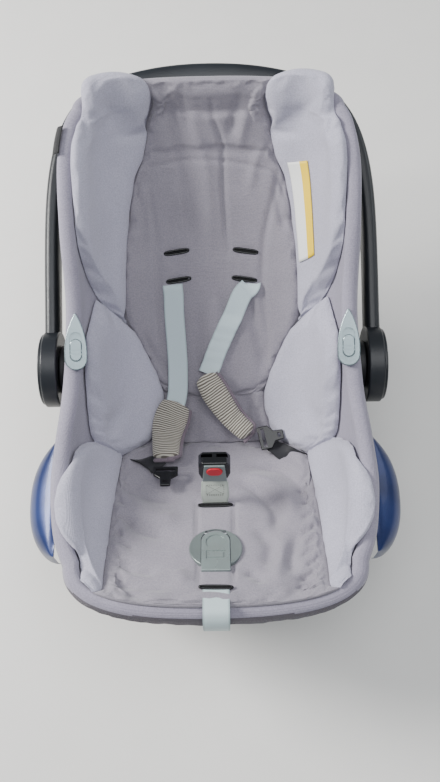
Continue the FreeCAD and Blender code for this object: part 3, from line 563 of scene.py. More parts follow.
# %% Press folds into a pad
def press(piece, folds, ripple, seed):
    """folds are (depth in mm, half width in mm, [(u, v, h), ...]); a negative depth is a ridge."""
    lines = [(depth * MM, width * MM, even([bowl(*mark) for mark in marks], 14))
             for depth, width, marks in folds]
    normals = [v.normal.copy() for v in piece.data.vertices]
    tree = skin_of(piece)
    filling = []
    for vertex, normal in zip(piece.data.vertices, normals):
        through = tree.ray_cast(vertex.co - normal * 0.0003, -normal, 0.08)[3]
        upper = normal.dot(HEART - vertex.co) > 0
        filling.append(min(max((through or 0.0) / 0.009, 0.0), 1.0) if upper else 0.0)
    for vertex, normal, soft in zip(piece.data.vertices, normals, filling):
        if soft < 0.02:
            continue
        move = ripple * (noise.noise(vertex.co * 34 + Vector((seed, 0, 0))) +
                         1.6 * noise.noise(vertex.co * 15 + Vector((0, seed, 0))))
        for depth, width, points in lines:
            near = min((vertex.co - a).length_squared for a in points)
            if near > (width * 4 + 0.012) ** 2:
                continue
            best = 1.0
            for k, (a, b) in enumerate(zip(points, points[1:])):
                along = b - a
                t = min(max((vertex.co - a).dot(along) / along.length_squared, 0.0), 1.0)
                gap = vertex.co - (a + along * t)
                gap = gap - normal * gap.dot(normal)
                if gap.length < best:
                    best = gap.length
                    share = (k + t) / (len(points) - 1)
            fade = min(1.0, 5 * share, 5 * (1 - share)) if best < 1.0 else 0.0
            move -= depth * math.exp(-(best / width) ** 2) * (0.25 + 0.75 * fade)
        vertex.co += normal * move * soft


def sew_pad(node, outline, side, base, puff, material, slot, folds=(), slack=0.05, fill=0.65, ripple=0.0004,
            fine=False, **shape):
    piece = pillow(node + "_cushion", outline, side, base, puff, material, **shape)
    moved = 0.0
    moved = fill_with_fibre(piece, slack)
    if fine:
        subdivide(piece)
        bake_modifiers(piece)
    press(piece, folds, ripple, sum(ord(letter) for letter in node) % 17)
    if not fine:
        subdivide(piece)
    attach(piece, "seat")
    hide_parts(node)
    pads.append(piece)
    print(node, len(piece.data.polygons), "faces, filled out by", round(moved * 1000, 1), "mm")


# %% [markdown]
# ### Where the seams run
# Neighbouring pads share a seam, so the same numbers come back in both tables: that is what makes the valley
# between them close. The pads beside the head roll over the rim at the top and hide it.

# %% Seam tables
HEAD = [(5.34, 0.47, 0.5), (5.42, 0.484, 0.61), (5.5, 0.486, 0.69), (5.65, 0.486, 0.81), (5.9, 0.478, 0.96),
        (6.15, 0.465, 1.005), (6.55, 0.437, 1.03), (7.0, 0.402, 1.045), (7.4, 0.352, 1.05), (7.9, 0.327, 1.04),
        (8.3, 0.307, 1.01), (8.6, 0.3, 0.945), (8.85, 0.306, 0.87), (9.05, 0.325, 0.8), (9.2, 0.355, 0.735),
        (9.32, 0.392, 0.675), (9.45, 0.44, 0.61)]
SIDE = [(3.22, 0.47, 0.56), (3.35, 0.43, 0.68), (3.5, 0.388, 0.735), (3.72, 0.338, 0.785), (4.02, 0.298, 0.855),
        (4.3, 0.287, 0.93), (4.52, 0.289, 0.95), (4.75, 0.322, 0.93), (4.95, 0.365, 0.865), (5.1, 0.403, 0.815),
        (5.26, 0.448, 0.765), (5.36, 0.515, 0.735), (5.44, 0.62, 0.705)]
LEG = [(-0.16, 0.59, 0.76), (0.0, 0.588, 0.88), (0.2, 0.578, 0.975), (0.4, 0.564, 1.02), (0.6, 0.552, 1.045),
       (0.8, 0.54, 1.065), (1.0, 0.53, 1.08), (1.3, 0.516, 1.093), (1.6, 0.506, 1.092), (1.9, 0.499, 1.08),
       (2.15, 0.494, 1.06), (2.4, 0.49, 1.03), (2.6, 0.487, 0.998), (2.8, 0.484, 0.95), (3.0, 0.482, 0.87),
       (3.15, 0.484, 0.79), (3.34, 0.53, 0.68)]
BACK = [(4.5, 0.235), (4.62, 0.293), (4.8, 0.33), (4.95, 0.362), (5.1, 0.4), (5.26, 0.445), (5.36, 0.468),
        (5.5, 0.483), (5.65, 0.483), (5.9, 0.475), (6.15, 0.462), (6.55, 0.434), (7.0, 0.399), (7.4, 0.349),
        (7.9, 0.324), (8.5, 0.297), (8.8, 0.297), (9.0, 0.309), (9.2, 0.331), (9.4, 0.362)]
LUMBAR = [(3.7, 0.325), (3.85, 0.315), (4.02, 0.295), (4.3, 0.284), (4.5, 0.28), (4.6, 0.25)]
SEAT = [(-0.2, 0.59), (0.0, 0.584), (0.2, 0.574), (0.5, 0.554), (0.8, 0.536), (1.2, 0.516), (1.7, 0.499),
        (2.1, 0.491),
        (2.5, 0.485), (2.8, 0.48), (3.05, 0.476), (3.22, 0.46), (3.35, 0.425), (3.5, 0.384), (3.68, 0.33)]


def across(rows):
    return [(u, -v, v) for u, v in rows]


# %% [markdown]
# The back panel hangs in soft vertical folds from its top seam, with one straight seam across it above the
# harness slots. The seat panel is pulled by the crotch strap and the buckle, so its creases fan out from there.

# %% Folds of the back and the seat
BACK_FOLDS = [
    (2.6, 2.4, [(7.24, -0.33), (7.36, -0.16), (7.37, 0.0), (7.3, 0.18), (7.1, 0.37)]),
    (4.2, 3.4, [(8.9, 0.02), (8.2, 0.03), (7.6, 0.075), (6.9, 0.075), (6.2, 0.1)]),
    (6.0, 8.0, [(9.1, -0.24), (8.3, -0.21), (7.5, -0.15), (6.9, -0.12), (6.3, -0.1)]),
    (-3.0, 7.0, [(8.9, -0.1), (8.1, -0.08), (7.2, -0.02), (6.3, 0.0)]),
    (3.0, 4.5, [(9.1, -0.16), (8.5, -0.145), (8.0, -0.12)]),
    (4.0, 6.0, [(9.1, 0.19), (8.3, 0.15), (7.8, 0.12)]),
    (-2.5, 6.0, [(9.0, 0.26), (8.1, 0.2), (7.6, 0.17)]),
    (3.0, 4.0, [(7.28, -0.32), (6.9, -0.33), (6.3, -0.3), (5.8, -0.3), (5.1, -0.29), (4.7, -0.25)]),
    (3.0, 4.0, [(7.05, 0.37), (6.6, 0.32), (6.2, 0.29), (5.7, 0.29), (5.2, 0.32), (4.8, 0.31)]),
    (5.0, 8.0, [(5.8, 0.18), (5.3, 0.26), (5.0, 0.29), (4.75, 0.27)]),
    (-3.0, 8.0, [(5.8, 0.02), (5.2, 0.03), (4.7, 0.05)]),
    (3.5, 7.0, [(5.7, -0.08), (5.1, -0.06), (4.65, -0.04)]),
    (3.0, 5.0, [(6.9, -0.39), (6.5, -0.365), (6.1, -0.38)]),
    (-2.5, 6.0, [(7.6, 0.3), (7.3, 0.25), (6.9, 0.22)]),
    (3.2, 5.0, [(7.0, 0.34), (6.7, 0.37), (6.4, 0.4)]),
    (3.6, 7.0, [(5.3, -0.42), (5.0, -0.34), (4.75, -0.22)]),
]
SLOT_MARKS = [(u, side * v) for u, v in ((6.22, 0.205), (5.9, 0.198)) for side in (-1, 1)]
SLOT_FOLDS = [(1.6, 4.0, [(u - 0.015, v - 0.06), (u + 0.012, v), (u - 0.015, v + 0.06)]) for u, v in SLOT_MARKS]
SEAT_FOLDS = [(2.4, 2.2, [(2.3, side * 0.098), (1.9, side * 0.095), (1.2, side * 0.09), (0.6, side * 0.088),
                          (0.1, side * 0.085)]) for side in (-1, 1)]
SEAT_FOLDS += [
    (2.0, 3.4, [(2.2, -0.105), (2.185, 0.0), (2.2, 0.105)]),
    (5.2, 8.0, [(2.55, 0.15), (2.4, 0.23), (2.05, 0.3), (1.7, 0.29)]),
    (-3.6, 8.0, [(2.75, 0.14), (2.62, 0.26), (2.3, 0.36), (1.9, 0.38)]),
    (5.0, 8.0, [(2.95, 0.2), (2.85, 0.34), (2.5, 0.43), (2.1, 0.45)]),
    (4.2, 9.0, [(1.75, 0.2), (1.45, 0.27), (1.0, 0.25)]),
    (4.0, 7.0, [(1.6, 0.4), (1.2, 0.36), (0.8, 0.38)]),
    (-3.0, 8.0, [(1.5, 0.33), (1.0, 0.3), (0.5, 0.31)]),
    (3.6, 7.0, [(0.9, 0.15), (0.75, 0.21), (0.5, 0.22)]),
    (3.6, 7.0, [(0.75, 0.46), (0.5, 0.42), (0.25, 0.45)]),
    (4.4, 9.0, [(2.7, -0.45), (2.4, -0.36), (2.3, -0.2)]),
    (4.0, 9.0, [(1.95, -0.46), (1.75, -0.36), (1.65, -0.24)]),
    (-3.0, 10.0, [(2.2, -0.42), (2.0, -0.3), (1.95, -0.18)]),
    (3.4, 8.0, [(1.2, -0.47), (1.0, -0.38), (0.95, -0.28)]),
    (3.4, 8.0, [(0.6, -0.5), (0.5, -0.36), (0.35, -0.22)]),
    (-2.6, 8.0, [(0.95, -0.2), (0.75, -0.17), (0.5, -0.16)]),
]
for side in (-1, 1):
    for k in range(11):
        u = 0.35 + 0.24 * k + 0.05 * math.sin(5 * k)
        reach = 0.055 + 0.03 * math.sin(3 * k + side)
        SEAT_FOLDS.append((3.0, 3.2, [(u, side * 0.5), (u - 0.05, side * (0.49 - reach / 2)),
                                      (u - 0.14, side * (0.48 - reach))]))


def at_height(h, folds, deeper=1.0):
    """Put every mark of some folds h mm above the shell, on the pad's skin."""
    return [(depth * deeper, width, [(u, v, h) for u, v in marks]) for depth, width, marks in folds]


BACK_FOLDS = at_height(20, BACK_FOLDS) + at_height(18, SLOT_FOLDS)
SEAT_FOLDS = at_height(21, SEAT_FOLDS, 1.5)

# %% [markdown]
# The pads beside the body and the legs are tight and almost smooth; only a few shallow dents show.

# %% Sew every pad
UNDER = 11.6
pads = []
for side, word in ((-1, "left"), (1, "right")):
    sew_pad("headrest_pad_" + word, HEAD, side, UNDER, 15.5, pad_cloth, "pad_fabric", rows=84, crest=7.5,
            slack=0.03, folds=[(1.3, 9, [(8.9, side * 0.55, 27), (8.6, side * 0.6, 27), (8.2, side * 0.6, 27)]),
                               (1.0, 9, [(7.6, side * 0.9, 27), (7.3, side * 0.8, 27)])])
    sew_pad("side_pad_" + word, SIDE, side, 12.6, 15.0, pad_cloth, "pad_fabric", slack=0.03,
            folds=[(1.0, 12, [(5.1, side * 0.6, 28), (4.9, side * 0.52, 28), (4.6, side * 0.5, 28)])])
    sew_pad("leg_pad_" + word, LEG, side, 13.0, 14.0, pad_cloth, "pad_fabric", slack=0.035,
            folds=[(1.2, 8, [(2.4, side * 0.86, 28), (2.1, side * 0.8, 28), (1.9, side * 0.7, 28)])])
sew_pad("back_pad", across(BACK), 0, UNDER, 9.0, panel_cloth, "cover_fabric", BACK_FOLDS, rows=104, columns=48,
        edge_in=0.012, edge_end=0.014, slack=0.08, fill=0.45, fine=True, ripple=0.0007)
sew_pad("lumbar_pad", across(LUMBAR), 0, UNDER, 6.5, panel_cloth, "cover_fabric", columns=30, edge_in=0.012,
        edge_end=0.012, fill=0.45)
sew_pad("seat_pad", across(SEAT), 0, UNDER, 9.5, panel_cloth, "cover_fabric", SEAT_FOLDS, rows=84, columns=56,
        edge_in=0.014, edge_end=0.016, slack=0.08, fill=0.55, fine=True, ripple=0.0009)
print("sewed", len(pads), "pads")

# %% [markdown]
# ### What lies on the pads
# Straps, labels and slot frames lie on the filled pads, so each finds the pads' skin with a ray cast along
# the bowl's own height direction.

# %% The skin of the pads
def pad_tree():
    bm = bmesh.new()
    for pad in pads:
        bm.from_mesh(pad.data)
    return BVHTree.FromBMesh(bm)


def lie_on(tree, u, v, lift):
    high = bowl(u, v, 45)
    low = bowl(u, v, 5)
    hit = tree.ray_cast(high, (low - high).normalized(), 0.06)[0]
    point = hit if hit else bowl(u, v, 28)
    return point + (high - low).normalized() * lift


skin_tree = pad_tree()
print("slot stands at", [round(c, 3) for c in lie_on(skin_tree, 5.9, 0.2, 0)])

# %% [markdown]
# ## The fitted cover
# One cloth lines the whole bucket under the pads, rolls over the rim and grips it from outside with an
# elastic hem. Its section over the rim is a short list of distances, and the hem is gathered by its elastic.

# %% Base cloth and rolled border in one piece
ROLL = [(-10.4, 0.0), (-9.4, 5.0), (-4.5, 9.0), (1.5, 9.6), (6.6, 6.6), (9.0, 1.0), (9.6, -5.0)]
U_STEPS, V_STEPS, END_STEPS, BORDER_STEPS = 120, 80, 40, 30
BASE_HEIGHT = 10.4


def rim_loop():
    """The rim once round, as (u, v, s), with s from 0 at the foot end to 3 at the head end."""
    left = [(0.0, -k / END_STEPS, k / END_STEPS) for k in range(END_STEPS)]
    left += [(LAST * k / U_STEPS, -1.0, 1 + k / U_STEPS) for k in range(U_STEPS)]
    left += [(LAST, -1 + k / END_STEPS, 2 + k / END_STEPS) for k in range(END_STEPS + 1)]
    right = [(u, -v, s) for u, v, s in reversed(left[:-1])]
    return left + right


RIM_LOOP = rim_loop()
RIM = [bowl(u, v) for u, v, s in RIM_LOOP]
RIM_STEPS = len(RIM_LOOP) - 1


def rim_out(i):
    along = RIM[(i + 1) % RIM_STEPS] - RIM[(i - 1) % RIM_STEPS]
    out = Vector((-along.y, along.x, 0)).normalized()
    return out if out.dot(Vector((RIM[i].x, RIM[i].y + 0.02, 0))) > 0 else -out


def hem_drop(s):
    return table([(0, 32.0), (0.8, 24.0), (1.0, 22.0), (1.7, 21.0), (2.0, 32.0), (3, 36.0)], s)[0]


def hem_start(s):
    """How far down the border's section the elastic hem starts, from 0 at the seat to 1 at the hem's edge."""
    return table([(0, 0.33), (0.65, 0.37), (0.95, 0.58), (1.15, 0.74), (3, 0.76)], s)[0]


def border_section(i):
    u, v, s = RIM_LOOP[i]
    here, out = RIM[i], rim_out(i)
    inward = (bowl(u, v, 1.0) - here) * 1000
    drop = hem_drop(s)
    full = table([(0, 1.0), (1.5, 1.0), (1.8, 0.7), (3, 0.7)], s)[0]
    marks = [(out * a * full if a > 0 else inward * -a) + Vector((0, 0, z * full)) for a, z in ROLL]
    marks += [out * away * full + Vector((0, 0, z)) for away, z in
              ((9.5, -drop * 0.6), (8.6, -drop), (6.8, -drop - 1.0), (5.9, -drop + 3.0))]
    section = even(marks, BORDER_STEPS + 1)
    for k, mark in enumerate(section):
        pull = min(max((k - 17) / 9, 0.0), 1.0)
        wave = noise.noise(Vector((here.x * 95, here.y * 95, here.z * 60)))
        section[k] = here + (mark + out * 1.5 * pull * wave) * MM
        broad = noise.noise(Vector((here.x * 16, here.y * 16, k * 0.12)))
        section[k] += out * 0.0008 * broad * min(k / 6, 1.0)
    return section


SECTIONS = [border_section(i) for i in range(RIM_STEPS)]
SECTIONS.append(SECTIONS[0])
border = wrap_sheet("border_cloth", RIM_STEPS, BORDER_STEPS,
                    lambda s, t: SECTIONS[round(s * RIM_STEPS)][round(t * BORDER_STEPS)], cover_cloth,
                    finish=lambda s, t: int(t > hem_start(RIM_LOOP[int(s * RIM_STEPS)][2])))


def base_place(s, t):
    point = bowl(LAST * s, -1 + 2 * t, BASE_HEIGHT)
    dent = noise.noise(point * 20) * 0.0006 * math.sin(math.pi * s) * math.sin(math.pi * t)
    return point + Vector((0, 0, dent))


base = wrap_sheet("base_cloth", U_STEPS, V_STEPS, base_place, cover_cloth)
print("border", len(border.data.polygons), "faces; base", len(base.data.polygons), "faces")


# %% [markdown]
# The two sheets share their points along the rim, so they weld into one. The lower part of the border is the
# elastic hem, a darker knit, and keeps its own finish.

# %% Weld the cover and mark its hem
def join_cover():
    bm = bmesh.new()
    bm.from_mesh(base.data)
    bm.from_mesh(border.data)
    bmesh.ops.remove_doubles(bm, verts=bm.verts, dist=0.0004)
    bmesh.ops.recalc_face_normals(bm, faces=bm.faces)
    for sheet in (base, border):
        bpy.data.objects.remove(sheet)
    return new_piece("fitted_cover", bm, cover_cloth, hem_cloth)


cover = join_cover()
hem_faces = sum(face.material_index for face in cover.data.polygons)
centre_face = min(cover.data.polygons, key=lambda p: (p.center - bowl(4.5, 0, 10)).length)
if centre_face.normal.z < 0:
    cover.data.flip_normals()
thicken(cover, 0.0016, -1.0)
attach(cover, "seat")
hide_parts("seat_cover", "cover_border_left", "cover_border_right")
print("cover", len(cover.data.polygons), "faces,", hem_faces, "of them hem")

# %% [markdown]
# ## Harness webbing
# Webbing is woven flat and tight from polyester, so it bends along its length and never across. Each strap
# is a strip of squares along a smooth path with its own UV map, so that the weave runs along it.

# %% Webbing cloth
TURN = 6.2832
WARP_THREADS = 16


def cloth_uv(tree):
    """The two directions of a strip's own UV map: across it and along it."""
    split = add(tree, "SeparateXYZ", add(tree, "UVMap", uv_map="cloth").outputs[0])
    return split.outputs["X"], split.outputs["Y"]


def webbing(name, colour, ribs=150.0):
    material, tree, shader = start_material(name, rough=0.55, sheen=0.15, sheen_rough=0.4, specular=0.35)
    crosswise, lengthwise = cloth_uv(tree)
    rib = maths(tree, "SINE", maths(tree, "MULTIPLY", lengthwise, ribs * TURN))
    warp = maths(tree, "SINE", maths(tree, "MULTIPLY", crosswise, WARP_THREADS * TURN))
    weave = maths(tree, "MULTIPLY", rib, warp)
    tint = mix_by(tree, weave, shade(colour, 0.8), shade(colour, 1.08), 0.0, 1.0)
    away = maths(tree, "ABSOLUTE", maths(tree, "SUBTRACT", crosswise, 0.5))
    edge = mix_by(tree, away, (1, 1, 1, 1), (0.72, 0.74, 0.74, 1), 0.42, 0.47)
    paint(tree, shader, multiply(tree, tint, edge))
    bump_from(tree, shader, weave, 0.35, 0.0003)
    return material


strap_cloth = webbing("strap_webbing", rgb(210, 227, 232))
lap_cloth = webbing("lap_webbing", rgb(46, 46, 50), 60.0)
crotch_cloth = webbing("crotch_webbing", rgb(216, 224, 212), 60.0)
tail_cloth = webbing("tail_webbing", rgb(204, 221, 224), 60.0)


# %% Lay a strap
STRAP_CLEAR = 0.0016


def rest_on_pads(path, rest, width):
    """Lift the part of a path between two shares of its length until it clears the pads."""
    start, end = rest
    lifts = []
    for i, point in enumerate(path):
        need = 0.0
        if start <= i / (len(path) - 1) <= end:
            up = (HEART - point).normalized()
            for x in (-0.5, -0.25, 0.0, 0.25, 0.5):
                spot = point + Vector((x * width, 0, 0))
                hit = skin_tree.ray_cast(spot + up * 0.05, -up, 0.06)
                if hit[0]:
                    need = max(need, (hit[0] - spot).dot(up) + STRAP_CLEAR)
        lifts.append(need)
    for turn in range(6):
        lifts = [max(lifts[i], 0.5 * (lifts[max(i - 1, 0)] + lifts[min(i + 1, len(lifts) - 1)]) - 0.0002)
                 for i in range(len(lifts))]
    return [point + (HEART - point).normalized() * lift for point, lift in zip(path, lifts)]


def strap(name, points, width, material, node, thick=0.0015, count=70, rest=None):
    """points are in metres; width is in metres, or a function of 0 to 1."""
    path = even(points, count + 1)
    if rest:
        path = rest_on_pads(path, rest, width)

    def place(s, t):
        i = round(s * count)
        w = width(s) if callable(width) else width
        return path[i] + path_axes(path, i)[1] * (w * (t - 0.5))

    piece = wrap_sheet(name, count, 8, place, material, with_uv=True)
    thicken(piece, thick)
    bevel = piece.modifiers.new("edge", "BEVEL")
    bevel.width = 0.0005
    bevel.segments = 2
    bevel.limit_method = "ANGLE"
    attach(piece, "seat")
    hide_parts(node)


# %% [markdown]
# The two shoulder straps leave the lower slots, lie down the back, and end inside their padded sleeves. The
# rear of each turns round behind the shell to the steel yoke.

# %% Shoulder, lap, crotch and adjuster straps
SHOULDER_WIDTH, LAP_WIDTH, REAR_WIDTH, FRONT_WIDTH = 0.025, 0.022, 0.028, 0.029
BACK_ANGLE = math.radians(36.9)
SLOT_MID = bowl(5.9, 0, 0)
BACK_T = Vector((0, math.cos(BACK_ANGLE), math.sin(BACK_ANGLE)))
BACK_N = Vector((0, -math.sin(BACK_ANGLE), math.cos(BACK_ANGLE)))


def by_back(x, along, off):
    return SLOT_MID + Vector((x, 0, 0)) * MM + BACK_T * along * MM + BACK_N * off * MM


def through_slot(side):
    """From the yoke behind the shell out of the lower slot."""
    return [by_back(side * x, along, off) for x, along, off in
            ((20, -39, -12.5), (34, -27, -13.5), (45, -11, -12.5), (49, 0, -4), (49, 0, 9), (49, 0, 21))]


left_path = through_slot(-1) + [by_back(-49, -5, 27)] + [bowl(*mark) for mark in (
    (5.72, -0.235, 28), (5.5, -0.235, 28), (5.1, -0.225, 28), (4.83, -0.22, 28), (4.5, -0.225, 30),
    (4.2, -0.26, 34))]
right_path = through_slot(1) + [by_back(48, -5, 27)] + [bowl(*mark) for mark in (
    (5.72, 0.185, 28), (5.45, 0.121, 28), (5.09, 0.03, 28), (4.78, -0.035, 31))]
for word, path, count, rest in (("left", left_path, 110, (0.4, 1.0)),
                                ("right", right_path, 90, (0.48, 1.0))):
    strap("shoulder_webbing_" + word, path, SHOULDER_WIDTH, strap_cloth, "shoulder_strap_" + word, count=count,
          rest=rest)


def mm(x, y, z):
    return Vector((x, y, z)) * MM


def lap(word, side, marks):
    hip = bowl(3.15, side * 0.4, 0)
    path = [bowl(*mark) for mark in marks]
    path += [hip + mm(0, 0, 9), hip + mm(side * 3, 0, -3), hip + mm(side * 7, 0, -12)]
    strap("lap_webbing_" + word, path, LAP_WIDTH, lap_cloth, "lap_strap_" + word, count=40)


lap("left", -1, [(2.9, -0.31, 30), (3.0, -0.335, 29.5), (3.11, -0.375, 23)])
lap("right", 1, [(3.48, 0.32, 27), (3.34, 0.355, 27), (3.2, 0.385, 21)])
CROTCH_ANGLE = math.radians(-30)
CROTCH_N = Vector((0, -math.sin(CROTCH_ANGLE), math.cos(CROTCH_ANGLE)))
BUCKLE_AT = mm(0, FRONT_Y + 172, 191)
crotch_mid = bowl(2.2, 0, 0)
crotch_path = [crotch_mid + CROTCH_N * d * MM for d in (-11, -2, 10, 20)]
crotch_path += [mm(0, FRONT_Y + 158, 172), BUCKLE_AT + mm(0, -3.5, -6), BUCKLE_AT + mm(0, -0.6, -0.8)]


def crotch_width(s):
    return table([(0, 0.03), (0.5, 0.031), (0.62, 0.034), (0.86, 0.032), (0.96, 0.022), (1, 0.018)], s)[0]


strap("crotch_webbing", crotch_path, crotch_width, crotch_cloth, "crotch_strap", thick=0.0028, count=50)
rear_path = [by_back(0, -62, -19.5), bowl(4.95, 0, -20), bowl(4.6, 0, -17), bowl(4.1, 0, -15)]
rear_path += [bowl(u, 0, -14) for u in (3.6, 3.0, 2.4)] + [bowl(1.9, 0, -15), bowl(1.62, 0, -12)]
rear_path += [bowl(1.46, 0, -4), bowl(1.42, 0, 2)]
strap("adjuster_webbing_rear", rear_path, REAR_WIDTH, tail_cloth, "adjuster_strap_rear", count=90)
front_path = [bowl(0.16, 0, 19), bowl(0.09, 0, 24), bowl(0.0, 0, 25)]
front_path += [mm(0, FRONT_Y + y, z) for y, z in ((9, 243), (-1.5, 241), (-8, 233), (-9.5, 222), (-7.5, 205),
                                                  (-6, 186))]
strap("adjuster_webbing_front", front_path, FRONT_WIDTH, tail_cloth, "adjuster_strap_front", count=60)
print("straps laid")

# %% [markdown]
# ### Box stitching on the crotch strap
# The strap is sewn to itself with a box and a cross in it, the strongest pattern a sewing machine makes.
# Each stitch is a tiny bead of thread, laid just proud of the webbing.

# %% Thread and stitches
thread = moulded("thread_grey", rgb(70, 68, 64), 0.8, 0.2)


STITCH_PITCH = 0.0026
STITCH_SIZE = Matrix.Diagonal((0.0009, 0.00028, 0.00028, 1))


def stitch_rows(name, lines, out_of_cloth):
    """lines are pairs of points; each gets a row of stitches."""
    bm = bmesh.new()
    made = 0
    for a, b in lines:
        count = max(int((b - a).length / STITCH_PITCH), 1)
        turn = (b - a).to_track_quat("X", "Z").to_matrix().to_4x4()
        for k in range(count):
            spot = Matrix.Translation(a.lerp(b, (k + 0.5) / count) + out_of_cloth * 0.0002)
            bmesh.ops.create_uvsphere(bm, u_segments=6, v_segments=4, radius=1.0,
                                      matrix=spot @ turn @ STITCH_SIZE)
            made += 1
    for face in bm.faces:
        face.smooth = True
    piece = new_piece(name, bm, thread)
    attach(piece, "seat")
    return made


crotch_run = even(crotch_path, 51)
low_mid, high_mid = crotch_run[33], crotch_run[42]
up_axis = (high_mid - low_mid).normalized()
out_axis = Vector((1, 0, 0)).cross(up_axis).normalized()
skin = out_axis * 0.0022
half = Vector((0.0105, 0, 0))
low_left, low_right, high_left, high_right = (
    mid + side * half + skin for mid in (low_mid, high_mid) for side in (-1, 1))
tack = up_axis * 0.0016
box_lines = [(low_left, low_right), (high_left, high_right), (low_left, high_left), (low_right, high_right),
             (low_left, high_right), (low_right, high_left), (low_left - tack, low_right - tack)]
made = stitch_rows("crotch_stitching", box_lines, out_axis)
print("box stitching:", made, "stitches")

# %% [markdown]
# ## Shoulder pads
# Each strap runs through a soft sleeve of striped cotton, bound with a mauve tape along one side and across
# the end, so that the webbing doesn't chafe a baby's neck.

# %% Striped cotton
def striped(name, light, dark, bands):
    material, tree, shader = start_material(name, rough=0.9, sheen=0.3, sheen_rough=0.5, specular=0.2)
    wobble = pattern(tree, "TexNoise", Scale=45.0, Detail=2.0)
    shift = maths(tree, "MULTIPLY_ADD", wobble, 0.05, cloth_uv(tree)[1])
    wave = maths(tree, "SINE", maths(tree, "MULTIPLY", shift, bands * TURN))
    paint(tree, shader, mix_by(tree, wave, dark, light, 0.0, 0.45))
    bump_from(tree, shader, wave, 0.5, 0.0005)
    return material


sleeve_cloth = striped("striped_cotton", rgb(200, 195, 182), rgb(104, 98, 90), 30.0)
binding_cloth = jersey("mauve_binding", rgb(118, 106, 116), 0.4)


# %% Sew a sleeve and its binding
BINDING_RADIUS = 0.0027


def sleeve(word, marks, width, thick, side_sign):
    count = 46
    path = even([bowl(*mark) for mark in marks], count + 1)

    def frame_at(i):
        along, side = path_axes(path, i)
        return along, side, side.cross(along)

    def shape_at(s):
        full = 0.70 + 0.30 * math.sin(math.pi * s) ** 0.5
        return full, 1.0 + 0.10 * math.sin(2 * math.pi * s * 0.9 + 0.6), roll_over(min(s, 1 - s) * 16)

    def place(s, t):
        i = round(s * count)
        along, side, up = frame_at(i)
        full, belly, cap = shape_at(s)
        angle = 2 * math.pi * t
        x = signed_power(math.cos(angle), 0.75) * width / 2 * full * belly
        z = signed_power(math.sin(angle), 0.85) * thick / 2 * full
        crease = 0.0009 * noise.noise(path[i] * 90 + Vector((math.cos(angle), 0, 0)))
        return path[i] + side * x * cap + up * (z * (0.25 + 0.75 * cap) + crease)

    piece = wrap_sheet("shoulder_sleeve_" + word, count, 40, place, sleeve_cloth, with_uv=True)
    subdivide(piece)
    edge = []
    for i in range(2, count + 1):
        along, side, up = frame_at(i)
        full, belly, cap = shape_at(i / count)
        edge.append(path[i] + side * side_sign * (width / 2 * full * belly * cap + 0.0012) + up * 0.0015)
    along, side, up = frame_at(count)
    tail = [path[count] + side * side_sign * x * width / 2 + along * 0.001 + up * 0.003
            for x in (0.55, 0.2, -0.25, -0.6, -0.8)]
    last = 69
    trim = even(edge + tail, last + 1)

    def bead(s, t):
        i = round(s * last)
        run = (trim[min(i + 1, last)] - trim[max(i - 1, 0)]).normalized()
        one = run.orthogonal().normalized()
        two = run.cross(one)
        angle = 2 * math.pi * t
        radius = BINDING_RADIUS * roll_over(min(s, 1 - s) * 40)
        return trim[i] + (one * math.cos(angle) + two * math.sin(angle)) * radius

    bead_piece = wrap_sheet("sleeve_binding_" + word, last, 10, bead, binding_cloth)
    for part in (piece, bead_piece):
        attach(part, "seat")
    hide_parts("shoulder_pad_" + word)


sleeve("left", [(4.38, -0.235, 36), (4.0, -0.285, 38), (3.6, -0.295, 38), (3.1, -0.295, 40)], 0.041, 0.015, 1)
sleeve("right", [(4.76, -0.065, 38), (4.45, 0.02, 40), (4.1, 0.12, 40), (3.75, 0.225, 40)], 0.032, 0.014, 1)
print("sleeves sewn")

# %% [markdown]
# ## Slot frames
# Where a strap passes through the cover, the cloth is clipped round with a thin black plastic frame. Behind
# it the slot is dark: a near-black sheet inside the frame is painted shade standing in for that darkness.

# %% Harness slot frames
def slot_frame(name, u, v, width, height, tilt_by=0.0):
    here = lie_on(skin_tree, u, v, 0.0016)
    across_axis = (lie_on(skin_tree, u, v + 0.07, 0) - lie_on(skin_tree, u, v - 0.07, 0)).normalized()
    along_axis = (lie_on(skin_tree, u + 0.08, v, 0) - lie_on(skin_tree, u - 0.08, v, 0)).normalized()
    up = across_axis.cross(along_axis).normalized()
    turned = (across_axis * math.cos(tilt_by) + along_axis * math.sin(tilt_by)).normalized()
    along_axis = up.cross(turned)

    def loop(angle, grow):
        x = signed_power(math.cos(angle), 0.5) * (width / 2 + grow)
        y = signed_power(math.sin(angle), 0.7) * (height / 2 + grow)
        return here + turned * x + along_axis * y

    def ring(s, t):
        turn = 2 * math.pi * t
        return loop(2 * math.pi * s, 0.0013 * math.cos(turn)) + up * 0.0013 * math.sin(turn)

    # Painted shade: a near-black sheet across the opening stands in for the dark inside of the slot.
    def well(s, t):
        return here + (loop(2 * math.pi * s, 0.0) - here) * t

    rim_piece = wrap_sheet(name + "_frame", 56, 8, ring, gloss_black)
    slot_shade_sheet = wrap_sheet(name + "_dark", 56, 4, well, slot_shade_paint)
    for part in (rim_piece, slot_shade_sheet):
        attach(part, "seat")


for k, (u, v) in enumerate(SLOT_MARKS):
    slot_frame("harness_slot_" + str(k), u, v, 0.03, 0.0045, 0.2 if v < 0 else -0.2)
slot_frame("crotch_slot", 2.205, 0.0, 0.04, 0.0045)
slot_frame("adjuster_slot", 0.1, 0.0, 0.036, 0.0045)
print("slot frames", len(SLOT_MARKS) + 2)

# %% [markdown]
# ## Label and tag
# The right head pad carries a care label, here left blank, white with a yellow band. A small black tag is
# folded over the border on the left, blank too.

# %% Label and tag
def label_cloth(name):
    material, tree, shader = start_material(name, rough=0.5, specular=0.4)
    band = mix_by(tree, cloth_uv(tree)[0], rgb(236, 236, 232), rgb(244, 206, 40), 0.555, 0.565)
    paint(tree, shader, band)
    bump_from(tree, shader, pattern(tree, "TexNoise", Scale=600.0, Detail=1.0), 0.15, 0.0002)
    return material


